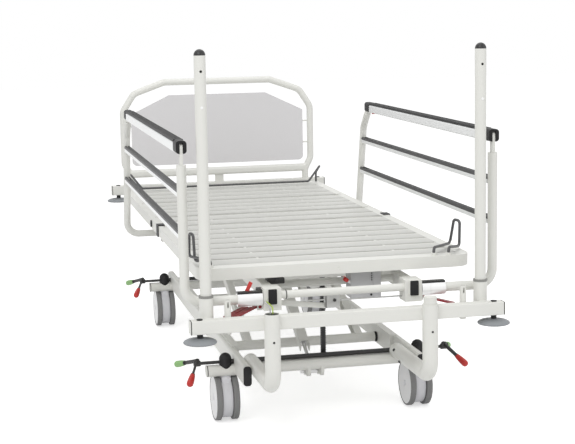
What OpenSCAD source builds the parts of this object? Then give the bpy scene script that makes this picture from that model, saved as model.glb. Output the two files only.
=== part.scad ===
// Adjustable hospital bed on twin-wheel castors, with folding side rails.
// X runs across the bed, Y from the head end to the foot end, Z up from the floor.

/* [Overall] */
// Centre of the head beam to the centre of the foot beam
beam_gap = 2260; // [2160:5:2500]
// Length of the head and foot beams across the bed
beam_len = 962; // [940:2:1060]
// Side of the square tube of the beams
beam_size = 40; // [36:1:44]
// Height of the head beam's centre above the floor
head_beam_z = 394; // [380:1:410]
// Height of the lying surface with the lift as photographed
deck_top = 540; // [530:1:600]
// Width of the lying surface
deck_w = 870; // [840:2:880]
// Wall of the welded steel tubes
tube_wall = 2.5; // [1.5:0.1:3]

/* [Chassis] */
// Head beam's centre to the head cross beam's centre
base_setback = 352; // [330:2:380]
// Distance between the two cross beams
wheel_base = 1457; // [1400:1:1500]
// Length of a cross beam
cross_len = 760; // [740:2:800]
// Depth of a cross beam along the bed
cross_d = 44; // [42:1:50]
// Height of a cross beam's section
cross_h = 36; // [34:1:40]
// Height of the cross beams' underside
cross_bottom = 150; // [148:1:160]
// Width of a chassis side tube
side_w = 27; // [22:1:30]
// Height of a chassis side tube
side_h = 64; // [56:1:70]
// Centre of a chassis side tube from the middle of the bed
side_x = 281.5; // [280:0.5:284]
// Height of the chassis side tubes' underside
side_bottom = 154; // [150:1:160]
// Length of a side tube ahead of the head cross beam
side_front = 167; // [120:1:200]
// Length of a side tube beyond the foot cross beam
side_back = 76; // [60:1:120]

/* [Head frame] */
// Outer radius of the bent upright tubes
j_r = 24; // [22:0.5:25]
// Centre of a bent upright from the middle of the bed
j_x = 243.6; // [240:0.2:244]
// How far the bent uprights stand ahead of the head beam's centre
j_ahead = 24; // [0:1:24]
// Height of the open tops of the bent uprights
j_top = 424; // [420:1:440]
// Height of the return tubes' centre
j_return_z = 199; // [196:1:210]
// Bend radius of the bent uprights
j_bend = 50; // [40:1:60]
// Radius of a lifting post
post_r = 17.25; // [14:0.25:18]
// Height of a post's top above the floor
post_top = 1200; // [1000:5:1400]
// Centre of a post from the middle of the bed
post_x = 427.5; // [420:0.5:430]
// Outer radius of a post's socket
socket_r = 21; // [20:0.5:23]
// Height of the socket's top
socket_top = 471; // [450:1:490]
// Radius of the small accessory socket
spigot_r = 10; // [9:0.5:12]
// Bore radius of the small accessory socket
spigot_bore = 7; // [5:0.1:8]
// Centre of the accessory socket from the middle of the bed
spigot_x = 366; // [355:1:375]
// Height of the accessory socket's top
spigot_top = 463; // [450:1:475]
// Radius of a corner bumper disc
bumper_r = 50; // [40:1:60]
// Centre of a bumper from the middle of the bed
bumper_x = 455; // [450:0.5:465]

/* [Castors] */
// Radius of a castor wheel
wheel_r = 75; // [65:0.5:76]
// Width of one castor wheel
wheel_w = 20; // [14:0.5:24]
// Centre of a castor from the middle of the bed
castor_x = 321.5; // [318:0.5:330]
// Offset of the wheel axle behind the swivel axis
castor_trail = 23; // [15:1:30]
// Width of the castor housing between the wheels
castor_body_w = 34; // [28:1:40]
// Radius of the black dome over a castor
dome_r = 20; // [18:0.5:21]
// Width across the flats of the brake bar
brake_flats = 14; // [10:0.5:15]

/* [Lift] */
// Height of the lift arms' lower pivots
arm_pivot_z = 180; // [178:1:186]
// Head cross beam to the head arms' lower pivot
arm_setback = 266; // [250:1:300]
// Distance between the two pairs of arms
arm_pitch = 820; // [780:1:840]
// Horizontal reach of an arm from pivot to roller
arm_reach = 672; // [640:1:690]
// Width of an arm
arm_w = 24; // [20:1:25]
// Depth of an arm
arm_d = 34; // [28:1:36]
// Radius of the torque tube that joins two arms
torque_r = 16.5; // [14:0.5:18]
// Radius of a roller in its track
roller_r = 13; // [11:0.5:13.5]
// Ram's place across the bed
ram_x = -27; // [-40:1:-20]

/* [Upper frame] */
// Width of an upper side tube
rail_w = 28; // [26:1:30]
// Height of an upper side tube
rail_h = 46; // [44:1:50]
// Centre of an upper side tube from the middle of the bed
rail_x = 222; // [220:0.5:224]
// Height of the upper side tubes' underside
rail_bottom = 434; // [430:1:438]
// Head beam's centre to the start of the upper side tubes
rail_setback = 65; // [60:1:70]
// Height of the foot beam's centre
foot_beam_z = 527; // [520:1:530]

/* [Lying surface] */
// Head beam's centre to the lying surface
deck_setback = 130; // [124:1:150]
// Length of the back section
back_len = 895; // [840:5:950]
// Length of the seat section
seat_len = 245; // [235:5:300]
// Length of the thigh section
thigh_len = 410; // [380:5:440]
// Length of the calf section
calf_len = 500; // [450:5:520]
// Height of the section frames
deck_h = 37; // [34:1:40]
// Width of the section frames' side tubes
deck_side = 35; // [32:1:40]
// Depth of the head end's cross tube
deck_front = 56; // [40:1:60]
// Width of a slat along the bed
slat_w = 85; // [60:1:90]
// Thickness of a slat
slat_t = 12; // [8:1:14]
// Radius of the retainer wires
wire_r = 4.5; // [3:0.5:5]

/* [Foot board] */
// Radius of the board's frame tube
board_r = 14.5; // [12:0.5:15]
// Height of the board's top
board_top = 1013; // [900:1:1100]
// Half the width over the board's upright tubes, at their centres
board_half = 423; // [410:1:430]
// Centre of a board leg from the middle of the bed
leg_x = 397; // [390:1:400]
// Thickness of the board's panel
panel_t = 10; // [6:1:14]

/* [Side rails] */
// Centre plane of a side rail from the middle of the bed
guard_x = 483.5; // [481:0.5:490]
// Radius of the near upright tube
guard_r = 14.75; // [13:0.25:15]
// Radius of the far upright tube
guard_far_r = 13.5; // [12:0.25:14]
// Head beam's centre to the near fold axis
guard_setback = 90; // [86:1:92]
// Distance between the near and far fold axes
guard_span = 1390; // [1360:1:1400]
// Height of the fold axes
guard_z = 450; // [448:1:452]
// Height of the top bar's pivots above the fold axes
guard_rise = 465; // [430:1:500]
// Height of the middle bar above the fold axes
mid_rise = 325; // [310:1:340]
// Height of the low bar above the fold axes
low_rise = 200; // [190:1:215]
// Width of the top bar
top_bar_w = 30; // [26:1:32]
// Height of the top bar under its grip
top_bar_h = 30; // [26:1:32]
// Thickness of the black grip
grip_t = 8.5; // [6:0.5:10]
// Side of the middle and low bars
bar_size = 22; // [20:1:24]

/* [Hidden] */
$fn = 48;

// Clearances and the overrun of every cut
run_gap = 0.05;   // radial gap of a pin or shaft in its bore
rest_gap = 0.3;   // gap between pieces that only lie near each other
over = 1;         // how far a cut runs past the surface that it opens

// Colours
coat = [0.89, 0.89, 0.86];
panel_grey = [0.8, 0.8, 0.8];
black = [0.13, 0.13, 0.14];
alu = [0.78, 0.79, 0.8];
tread_grey = [0.53, 0.53, 0.53];
castor_grey = [0.8, 0.8, 0.82];
disc_grey = [0.6, 0.62, 0.65];
red = [0.72, 0.13, 0.12];
dark_red = [0.5, 0.1, 0.12];
green = [0.55, 0.74, 0.45];
wire_grey = [0.35, 0.35, 0.37];

// Places along the bed
head_y = -beam_gap / 2;
j_y = head_y - j_ahead;
foot_y = beam_gap / 2;
cross_y = [head_y + base_setback, head_y + base_setback + wheel_base];
deck_y = head_y + deck_setback;
back_hinge_y = deck_y + back_len;
thigh_hinge_y = back_hinge_y + seat_len;
calf_hinge_y = thigh_hinge_y + thigh_len;
deck_end = calf_hinge_y + calf_len;
near_y = head_y + guard_setback;
far_y = near_y + guard_span;
rail_y = head_y + rail_setback;
rail_end = foot_y - beam_size / 2;

// Heights
cross_z = cross_bottom + cross_h / 2;
cross_top = cross_bottom + cross_h;
side_top = side_bottom + side_h;
side_z = side_bottom + side_h / 2;
rail_z = rail_bottom + rail_h / 2;
rail_top = rail_bottom + rail_h;
deck_bottom = deck_top - deck_h;
hinge_z = deck_top - deck_h / 2;
foot_beam_top = foot_beam_z + beam_size / 2;

// Shapes shared by several pieces
module pair() {
    children();
    mirror([1, 0, 0]) children();
}
module round_rect(w, h, r) {
    square([w - 2 * r, h], center = true);
    square([w, h - 2 * r], center = true);
    for (sx = [-1, 1], sy = [-1, 1])
        translate([sx * (w / 2 - r), sy * (h / 2 - r)]) circle(r = r);
}
// Extrudes a drawing of x and z along y
module along_y(y0, y1) {
    translate([0, y1, 0]) rotate([90, 0, 0]) linear_extrude(y1 - y0) children();
}
// Extrudes a drawing of y and z along x
module along_x(x0, x1) {
    translate([x0, 0, 0]) rotate([90, 0, 90]) linear_extrude(x1 - x0) children();
}
module rod_x(x0, x1, y, z, r) {
    translate([x0, y, z]) rotate([0, 90, 0]) cylinder(r = r, h = x1 - x0);
}
module rod_y(x, y0, y1, z, r) {
    translate([x, y0, z]) rotate([-90, 0, 0]) cylinder(r = r, h = y1 - y0);
}
module rod_z(x, y, z0, z1, r) {
    translate([x, y, z0]) cylinder(r = r, h = z1 - z0);
}
// Box from one corner to the other
module block(low, high) {
    translate(low) cube(high - low);
}
// Bent tube or wire along a run of points, with a true bend at each corner.
// A bend is a hair wider than the straight tube, which reaches a little way into it.
bend_step = 0.1;
bend_in = 0.5;
function unit(v) = v / norm(v);
function turn_of(a, b, c) = acos(unit(b - a) * unit(c - b));
module elbow(a, b, c, r, bend) {
    turn = turn_of(a, b, c);
    u = unit(b - a);
    w = unit(unit(c - b) - u * cos(turn));
    n = cross(-w, u);
    o = b - u * bend * tan(turn / 2) + w * bend;
    multmatrix([[-w[0], u[0], n[0], o[0]], [-w[1], u[1], n[1], o[1]], [-w[2], u[2], n[2], o[2]]])
        rotate_extrude(angle = turn) translate([bend, 0]) circle(r = r + bend_step);
}
module pipe(points, r, bend) {
    last = len(points) - 1;
    for (i = [0 : last - 1]) {
        d = points[i + 1] - points[i];
        from = i == 0 ? 0 : bend * tan(turn_of(points[i - 1], points[i], points[i + 1]) / 2) - bend_in;
        to = norm(d) - (i == last - 1 ? 0
            : bend * tan(turn_of(points[i], points[i + 1], points[i + 2]) / 2) - bend_in);
        arm_from(points[i], d, from, to, r);
    }
    for (i = [1 : 1 : last - 1]) elbow(points[i - 1], points[i], points[i + 1], r, bend);
}
// Rod along v from one distance to another, starting at a point
module arm_from(origin, v, from, to, r) {
    translate(origin) rotate([0, acos(v[2] / norm(v)), atan2(v[1], v[0])])
        translate([0, 0, from]) cylinder(r = r, h = to - from);
}

// Chassis
cap_t = 4;            // thickness of an end cap outside its tube
plug_depth = 14;      // depth of a plug inside its tube
plug_inset = 1;       // reveal of a plug inside its tube's outline
bracket_t = 10;       // plate that carries a torque tube
bracket_front = 166;  // length of that plate ahead of the pivot
bracket_back = 82;    // length of that plate beyond the pivot
flange_t = 4;         // lip of that plate over the side tube
bush_w = 8;           // black ring beside that plate
stub_r = 10;          // stub of the torque tube in the plate
lug_t = 10;           // thickness of a ram lug
lug_gap = 34;         // space between the two ram lugs
lug_r = 15;           // round end of a ram lug
ram_low_z = 138;      // height of the ram's lower pivot
ram_low_back = 38;    // ram's lower pivot behind the cross beam's centre
pin_r = 6;            // pivot pins of ram and sections
stem_r = 13;          // castor stem
stem_len = 20;        // how far the stem enters the cross beam
dome_skirt = 14;      // how far a dome reaches down the cross beam's sides
dome_top = 225;       // height of a dome's top
bar_lift = 9.5;       // brake bar's centre above the cross beams
journal_r = 8.5;      // round part of the brake bar inside a dome
side_corner = 10;     // corner radius of the chassis side tubes
ram_low_y = cross_y[0] + ram_low_back;
bracket_in = side_x - side_w / 2 - bracket_t;
arm_y = [cross_y[0] + arm_setback, cross_y[0] + arm_setback + arm_pitch];
brake_z = cross_top + bar_lift;

module oval(w, h) {
    square([w - h, h], center = true);
    for (s = [-1, 1]) translate([s * (w - h) / 2, 0]) circle(d = h);
}
module cross_beam(y) {
    difference() {
        along_x(-cross_len / 2, cross_len / 2) translate([y, cross_z]) oval(cross_d, cross_h);
        along_x(-cross_len / 2 - over, cross_len / 2 + over) translate([y, cross_z])
            oval(cross_d - 2 * tube_wall, cross_h - 2 * tube_wall);
    }
    // Sleeves for the castors' stems, inside the beam
    sleeve = stem_r + 2 * tube_wall;
    for (s = [-1, 1]) intersection() {
        rod_z(s * castor_x, y, cross_bottom, cross_top, sleeve);
        along_x(s * castor_x - sleeve - over, s * castor_x + sleeve + over) translate([y, cross_z])
            oval(cross_d - tube_wall, cross_h - tube_wall);
    }
}
module ram_lug(x) {
    along_x(x - lug_t / 2, x + lug_t / 2) difference() {
        union() {
            translate([ram_low_y, ram_low_z]) circle(r = lug_r);
            translate([ram_low_y - lug_r, ram_low_z]) square([2 * lug_r, cross_z - ram_low_z]);
            translate([cross_y[0], ram_low_z]) square([ram_low_back, cross_z - ram_low_z]);
            translate([cross_y[0], cross_bottom]) circle(r = cross_bottom - ram_low_z + lug_t);
        }
        translate([ram_low_y, ram_low_z]) circle(r = pin_r + run_gap);
    }
}
module base_frame() {
    color(coat) difference() {
        union() {
            for (y = cross_y) cross_beam(y);
            pair() along_y(cross_y[0] - side_front, cross_y[1] + side_back)
                translate([side_x, side_z]) round_rect(side_w, side_h, side_corner);
            for (y = arm_y) pair() {
                block([bracket_in, y - bracket_front, side_bottom + flange_t],
                    [bracket_in + bracket_t + over, y + bracket_back, side_top]);
                block([bracket_in, y - bracket_front, side_top - flange_t],
                    [side_x, y + bracket_back, side_top + flange_t]);
            }
            for (s = [-1, 1]) ram_lug(ram_x + s * (lug_gap + lug_t) / 2);
        }
        // Hollow side tubes, with holes for the brake bars
        pair() along_y(cross_y[0] - side_front - over, cross_y[1] + side_back + over)
            translate([side_x, side_z]) round_rect(side_w - 2 * tube_wall, side_h - 2 * tube_wall,
                side_corner - tube_wall);
        for (y = cross_y) pair() {
            rod_x(side_x - side_w, side_x + side_w / 2 + over, y, brake_z, journal_r + rest_gap);
            rod_z(castor_x, y, cross_bottom - over, cross_bottom + stem_len + over, stem_r + run_gap);
        }
        // Bores for the torque tubes' stubs
        for (y = arm_y) pair() rod_x(bracket_in - over, bracket_in + bracket_t + over, y,
            arm_pivot_z, stub_r + run_gap);
    }
}
module base_plugs() {
    color(black) {
        // Plugs in the side tubes, with a head outside
        for (e = [[cross_y[0] - side_front, -1], [cross_y[1] + side_back, 1]]) pair() {
            y = e[0];
            along_y(min(y, y + e[1] * cap_t), max(y, y + e[1] * cap_t)) translate([side_x, side_z])
                round_rect(side_w - 2 * plug_inset, side_h - 2 * plug_inset, side_corner);
            along_y(min(y, y - e[1] * plug_depth) + rest_gap, max(y, y - e[1] * plug_depth) - rest_gap)
                translate([side_x, side_z]) round_rect(side_w - 2 * tube_wall - 2 * rest_gap,
                    side_h - 2 * tube_wall - 2 * rest_gap, side_corner - tube_wall);
        }
        // Caps on the cross beams
        for (y = cross_y) pair() {
            along_x(cross_len / 2, cross_len / 2 + cap_t) translate([y, cross_z]) oval(cross_d, cross_h);
            along_x(cross_len / 2 - plug_depth + rest_gap, cross_len / 2) translate([y, cross_z])
                oval(cross_d - 2 * tube_wall - 2 * rest_gap, cross_h - 2 * tube_wall - 2 * rest_gap);
        }
        // Rings beside the plates that carry the torque tubes
        for (y = arm_y) pair() difference() {
            rod_x(bracket_in - bush_w, bracket_in, y, arm_pivot_z, torque_r + plug_inset);
            rod_x(bracket_in - bush_w - over, bracket_in + over, y, arm_pivot_z, stub_r + run_gap);
        }
        // Domes over the castors, with the brake bar's bearing in each
        for (y = cross_y) pair() difference() {
            translate([castor_x, y, 0]) rotate_extrude() {
                translate([0, cross_top - dome_skirt])
                    square([dome_r, dome_top - dome_r - cross_top + dome_skirt]);
                intersection() {
                    translate([0, dome_top - dome_r]) circle(r = dome_r);
                    translate([0, dome_top - dome_r]) square([dome_r, dome_r]);
                }
            }
            along_x(castor_x - dome_r - over, castor_x + dome_r + over) translate([y, cross_z])
                oval(cross_d + 2 * run_gap, cross_h + 2 * run_gap);
            rod_x(castor_x - dome_r - over, castor_x + dome_r + over, y, brake_z, journal_r + run_gap);
        }
    }
}

// Head frame
socket_back = 3.5;     // weld gap between the beam and a post socket
socket_low = 370;      // height of a post socket's closed end
socket_floor = 8;      // thickness of that closed end
collar_h = 7;          // grey collar on a post socket
collar_out = 1;        // how far the collar stands out
collar_gap = 0.2;      // radial gap between a post and its socket
spigot_low = 360;      // height of the accessory socket's lower end
spigot_depth = 80;     // depth of the accessory socket's bore
slot_w = 5;            // slot in the accessory socket's front
slot_low = 22;         // slot's lower end below the socket's top
slot_high = 5;         // slot's upper end below the socket's top
insert_r = 20;         // plastic insert in the right upright
insert_h = 22;         // height of the insert above its tube
insert_depth = 25;     // depth of the insert in its tube
screw_r = 3.5;         // screw hole in a bent upright
screw_drop = 82;       // that hole below the upright's top
j_wall = 3;            // wall of the bent uprights
hub_r = 9;             // black hub over a bumper disc
hub_h = 13;            // height of that hub
disc_t = 14;           // thickness of a bumper disc at its rim
disc_crown = 4;        // rise of a bumper disc to its hub
stud_r = 6;            // stud through a bumper disc
stud_head = 3;         // head under a bumper disc
top_plug_r = 9;        // plug in a beam's upper face over the bumper
post_y = head_y + beam_size / 2 + socket_back + socket_r;
spigot_y = head_y + beam_size / 2 + spigot_r;
j_end = cross_y[0] - cross_d / 2 - rest_gap;

module j_upright(r) {
    rod_z(0, 0, j_return_z + j_bend, j_top, r);
    translate([0, j_bend, j_return_z + j_bend]) rotate([90, 0, 90]) rotate_extrude(angle = 90)
        translate([-j_bend, 0]) circle(r = r);
    rod_y(0, j_bend, j_end - j_y, j_return_z, r);
}
module beam_shell(y, z) {
    difference() {
        along_x(-beam_len / 2, beam_len / 2) translate([y, z]) round_rect(beam_size, beam_size, tube_wall);
        along_x(-beam_len / 2 - over, beam_len / 2 + over) translate([y, z])
            square(beam_size - 2 * tube_wall, center = true);
        pair() rod_z(bumper_x, y, z - beam_size, z + beam_size, top_plug_r - plug_inset);
    }
}
module head_frame() {
    color(coat) {
        difference() {
            union() {
                beam_shell(head_y, head_beam_z);
                pair() translate([j_x, j_y, 0]) j_upright(j_r);
                // Post sockets, welded to the beam's rear face by short webs
                pair() rod_z(post_x, post_y, socket_low, socket_top, socket_r);
                pair() block([post_x - socket_r / 2, head_y, head_beam_z - beam_size / 2],
                    [post_x + socket_r / 2, post_y, head_beam_z + beam_size / 2]);
                // Accessory sockets, likewise
                pair() rod_z(spigot_x, spigot_y, spigot_low, spigot_top, spigot_r);
                pair() block([spigot_x - spigot_r / 2, head_y, head_beam_z - beam_size / 2 + tube_wall],
                    [spigot_x + spigot_r / 2, spigot_y, head_beam_z + beam_size / 2 - tube_wall]);
            }
            pair() translate([j_x, j_y, 0]) {
                rod_z(0, 0, j_return_z + j_bend, j_top + over, j_r - j_wall);
                translate([0, j_bend, j_return_z + j_bend]) rotate([90, 0, 90])
                    rotate_extrude(angle = 90) translate([-j_bend, 0]) circle(r = j_r - j_wall);
                rod_y(0, -j_r - over, 0, j_top - screw_drop, screw_r);
            }
            pair() rod_z(post_x, post_y, socket_low + socket_floor, socket_top + over,
                post_r + collar_gap);
            pair() rod_z(spigot_x, spigot_y, spigot_top - spigot_depth, spigot_top + over, spigot_bore);
            pair() block([spigot_x - slot_w / 2, spigot_y - spigot_r - over, spigot_top - slot_low],
                [spigot_x + slot_w / 2, spigot_y, spigot_top - slot_high]);
        }
    }
}
module head_frame_fittings() {
    color(black) {
        // End caps of the beam
        pair() {
            along_x(beam_len / 2, beam_len / 2 + cap_t) translate([head_y, head_beam_z])
                round_rect(beam_size, beam_size, tube_wall);
            along_x(beam_len / 2 - plug_depth, beam_len / 2) translate([head_y, head_beam_z])
                square(beam_size - 2 * tube_wall - 2 * rest_gap, center = true);
        }
        pair() bumper_hub(head_y, head_beam_z - beam_size / 2);
        pair() beam_plug(head_y, head_beam_z + beam_size / 2);
    }
    // Collars round the posts
    color(disc_grey) pair() difference() {
        rod_z(post_x, post_y, socket_top, socket_top + collar_h, socket_r + collar_out);
        rod_z(post_x, post_y, socket_top - over, socket_top + collar_h + over, post_r + collar_gap);
    }
    // Insert in the right upright
    color(coat) {
        rod_z(j_x, j_y, j_top, j_top + insert_h, insert_r);
        rod_z(j_x, j_y, j_top - insert_depth, j_top, j_r - j_wall - rest_gap);
    }
}
module bumper_hub(y, z) {
    rod_z(bumper_x, y, z - hub_h, z, hub_r);
    rod_z(bumper_x, y, z - hub_h - disc_t - disc_crown - stud_head, z - hub_h, stud_r);
    rod_z(bumper_x, y, z - hub_h - disc_t - disc_crown - stud_head - 2 * rest_gap,
        z - hub_h - disc_t - disc_crown - 2 * rest_gap, hub_r);
    rod_z(bumper_x, y, z - over, z + beam_size / 2, top_plug_r - plug_inset - rest_gap);
}
module beam_plug(y, z) {
    rod_z(bumper_x, y, z, z + stud_head, top_plug_r);
    rod_z(bumper_x, y, z - tube_wall, z + over, top_plug_r - plug_inset - rest_gap);
}
module bumper(s, y, z) {
    top = z - hub_h - rest_gap;
    color(disc_grey) difference() {
        translate([s * bumper_x, y, 0]) rotate_extrude($fn = 64) {
            polygon([[0, top], [hub_r, top], [bumper_r - disc_crown, top - disc_crown],
                [bumper_r, top - 2 * disc_crown], [bumper_r, top - disc_t],
                [bumper_r - disc_crown, top - disc_t - disc_crown], [0, top - disc_t - disc_crown]]);
        }
        rod_z(s * bumper_x, y, top - 2 * disc_t - disc_crown, top + over, stud_r + run_gap);
    }
}
module bumper_hl() { bumper(-1, head_y, head_beam_z - beam_size / 2); }
module bumper_hr() { bumper(1, head_y, head_beam_z - beam_size / 2); }
module bumper_fl() { bumper(-1, foot_y, foot_beam_z - beam_size / 2); }
module bumper_fr() { bumper(1, foot_y, foot_beam_z - beam_size / 2); }

// Lifting posts
cap_h = 18;             // height of a post's black cap
post_hole_drop = 64;    // small hole below a post's top
post_button_drop = 168; // white button below a post's top
dot_r = 4;              // radius of hole and button
dot_out = 1.5;          // how far the button stands out
module post(s) {
    color(coat) difference() {
        rod_z(s * post_x, post_y, socket_low + socket_floor + rest_gap, post_top - cap_h, post_r);
        rod_z(s * post_x, post_y, socket_low + socket_floor, post_top - cap_h - tube_wall,
            post_r - tube_wall);
        rod_y(s * post_x, post_y - post_r - over, post_y, post_top - post_hole_drop, dot_r);
    }
    color("white") rod_y(s * post_x, post_y - post_r - dot_out, post_y - post_r + tube_wall,
        post_top - post_button_drop, dot_r);
    color(black) translate([s * post_x, post_y, post_top - cap_h]) scale([1, 1, cap_h / post_r])
        rotate_extrude() intersection() {
            circle(r = post_r);
            square([post_r, post_r]);
        }
}
module post_left() { post(-1); }
module post_right() { post(1); }

// Castors
axle_r = 6;             // wheel axle
floor_gap = 7;          // housing's clearance above the floor
wheel_gap = 1;          // gap between housing and wheel
module castor(s, i) {
    w = castor_body_w / 2;
    color(castor_grey) translate([s * castor_x, cross_y[i], 0]) {
        along_x(-w, w) {
            translate([castor_trail, wheel_r]) circle(r = wheel_r - floor_gap);
            translate([-w, wheel_r]) square([w + castor_trail, cross_bottom - rest_gap - wheel_r]);
        }
        rod_z(0, 0, cross_bottom - stem_len, cross_bottom + stem_len, stem_r);
        rod_x(-w - wheel_gap - wheel_w, w + wheel_gap + wheel_w, castor_trail, wheel_r, axle_r);
    }
}
module wheels(s, i) {
    y = cross_y[i] + castor_trail;
    for (t = [-1, 1]) {
        x = s * castor_x + t * (castor_body_w / 2 + wheel_gap + wheel_w / 2);
        color(tread_grey) difference() {
            rod_x(x - wheel_w / 2, x + wheel_w / 2, y, wheel_r, wheel_r);
            rod_x(x - wheel_w, x + wheel_w, y, wheel_r, axle_r + run_gap);
        }
    }
}
module castor_hl() { castor(-1, 0); }
module castor_hr() { castor(1, 0); }
module castor_fl() { castor(-1, 1); }
module castor_fr() { castor(1, 1); }
module wheels_hl() { wheels(-1, 0); }
module wheels_hr() { wheels(1, 0); }
module wheels_fl() { wheels(-1, 1); }
module wheels_fr() { wheels(1, 1); }

// Brake bars with their V levers
bar_end = 44;          // bar's length beyond the cross beam
lever_r = 6.5;         // radius of a lever arm
lever_hub_r = 11;      // radius of a lever's hub
lever_hub_w = 22;      // width of a lever's hub
grip_r = 11;           // radius of a pedal tip
grip_len = 52;         // length of a pedal tip
lever_rise = 9;        // arms' start above the bar's centre
lever_ball_r = 9;      // ball where the two arms meet
red_arm = [42, -108, -50];   // red pedal's end from there
green_arm = [53, 110, -34];  // green pedal's end from there
bar_half = cross_len / 2 + bar_end;
function hub_at(y) = [bar_half - lever_hub_w / 2, y, brake_z + lever_rise];
module brake_bar(y) {
    color(alu) {
        rotate([0, 90, 0]) translate([-brake_z, y, -bar_half]) rotate([0, 0, 30])
            cylinder(d = brake_flats / cos(30), h = 2 * bar_half, $fn = 6);
        pair() rod_x(castor_x - dome_r, castor_x + dome_r, y, brake_z, journal_r);
    }
    color(black) pair() {
        rod_x(bar_half - lever_hub_w, bar_half, y, brake_z, lever_hub_r);
        translate(hub_at(y)) sphere(r = lever_ball_r);
        for (v = [red_arm, green_arm]) arm_from(hub_at(y), v, 0, norm(v) - grip_len, lever_r);
    }
}
module brake_grips(y) {
    pair() {
        color(red) pedal(hub_at(y), red_arm);
        color(green) pedal(hub_at(y), green_arm);
    }
}
// Pedal tip with a rounded end, turned in one piece
module pedal(origin, v) {
    translate(origin) rotate([0, acos(v[2] / norm(v)), atan2(v[1], v[0])])
        translate([0, 0, norm(v) - grip_len]) rotate_extrude() {
            square([grip_r, grip_len - grip_r]);
            intersection() {
                translate([0, grip_len - grip_r]) circle(r = grip_r);
                square([grip_r, grip_len]);
            }
        }
}
module brake_bar_head() { brake_bar(cross_y[0]); }
module brake_bar_foot() { brake_bar(cross_y[1]); }
module brake_grips_head() { brake_grips(cross_y[0]); }
module brake_grips_foot() { brake_grips(cross_y[1]); }

// Lift arms with torque tube and rollers
arm_gap = 2;           // space between an arm and the side tube above
roller_side = 1.5;     // roller's side clearance in its track
track_wall = 3;        // wall of the upper side tubes
slot_run = 80;         // travel of a roller either way along its track
arm_rise = rail_z - arm_pivot_z;
arm_len = norm([arm_reach, arm_rise]);
arm_angle = atan2(arm_rise, arm_reach);
arm_out = rail_x - rail_w / 2 - arm_gap;
module lift_arms(y) {
    color(coat) translate([0, y, arm_pivot_z]) {
        rod_x(-bracket_in + bush_w + rest_gap, bracket_in - bush_w - rest_gap, 0, 0, torque_r);
        rod_x(-bracket_in - bracket_t + rest_gap, bracket_in + bracket_t - rest_gap, 0, 0, stub_r);
        rotate([arm_angle, 0, 0]) pair() {
            difference() {
                block([arm_out - arm_w, 0, -arm_d / 2], [arm_out, arm_len, arm_d / 2]);
                block([arm_out - arm_w - over, torque_r, -arm_d / 2 + track_wall],
                    [arm_out - track_wall, arm_len - arm_d / 2, arm_d / 2 - track_wall]);
            }
            rod_x(arm_out - arm_w, arm_out, arm_len, 0, arm_d / 2);
            rod_x(arm_out - over, arm_out + arm_gap + rail_w - track_wall - roller_side, arm_len, 0, pin_r);
            rod_x(arm_out + arm_gap + track_wall + roller_side,
                arm_out + arm_gap + rail_w - track_wall - roller_side, arm_len, 0, roller_r);
        }
    }
}
module lift_arms_head() { lift_arms(arm_y[0]); }
module lift_arms_foot() { lift_arms(arm_y[1]); }

// Ram between the head cross beam and the upper frame
ram_reach = 549;       // horizontal distance between the ram's pivots
ram_high_z = 428;      // height of the ram's upper end
rod_r = 6;             // ram's thin rod
eye_r = 12;            // eye on the rod's lower end
nut_r = 9.6;           // nut on the ram's lower pin
nut_w = 12;            // width of that nut
eye_gap = 1;           // side clearance of an eye between its lugs
ram_core_r = 9.5;      // silver cylinder of the ram
cover_w = 33;          // width of the white cover over the cylinder
cover_t = 3;           // wall of that cover
cover_d = 26;          // depth of that cover
cover_start = 108;     // cover's start along the ram
fork_len = 26;         // fork at the cover's lower end
rod_end = 560;         // rod's upper end along the ram
ram_rise = ram_high_z - ram_low_z;
ram_len = norm([ram_reach, ram_rise]);
ram_angle = atan2(ram_rise, ram_reach);
module on_ram() {
    translate([ram_x, ram_low_y, ram_low_z]) rotate([ram_angle, 0, 0]) children();
}
module ram_rod() {
    color(alu) {
        on_ram() rod_x(-lug_gap / 2 + eye_gap, lug_gap / 2 - eye_gap, 0, 0, eye_r);
        on_ram() rod_y(0, eye_r / 2, rod_end, 0, rod_r);
        on_ram() rod_x(-lug_gap / 2 - lug_t, lug_gap / 2 + lug_t, 0, 0, pin_r);
        on_ram() rod_x(-lug_gap / 2 - lug_t - nut_w, -lug_gap / 2 - lug_t - rest_gap, 0, 0, nut_r);
    }
}
module ram_tube() {
    color(coat) on_ram() difference() {
        union() {
            // Two cheeks and a back make the white cover
            for (s = [-1, 1]) block([s * (cover_w - cover_t) / 2 - cover_t / 2, cover_start, -cover_d / 2],
                [s * (cover_w - cover_t) / 2 + cover_t / 2, ram_len - eye_r, cover_d / 2]);
            block([-cover_w / 2, cover_start + fork_len, cover_d / 2 - cover_t],
                [cover_w / 2, ram_len - eye_r, cover_d / 2]);
            block([-cover_w / 2, cover_start + fork_len, -cover_d / 2],
                [cover_w / 2, cover_start + 2 * fork_len, cover_d / 2]);
            block([-cover_w / 2, ram_len - eye_r - fork_len, -eye_r],
                [cover_w / 2, ram_len, eye_r]);
            rod_x(-cover_w / 2, cover_w / 2, ram_len, 0, eye_r);
            rod_y(0, cover_start + fork_len, ram_len - eye_r, 0, ram_core_r);
        }
        rod_y(0, cover_start - over, ram_len - eye_r, 0, rod_r + run_gap);
    }
}

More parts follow.
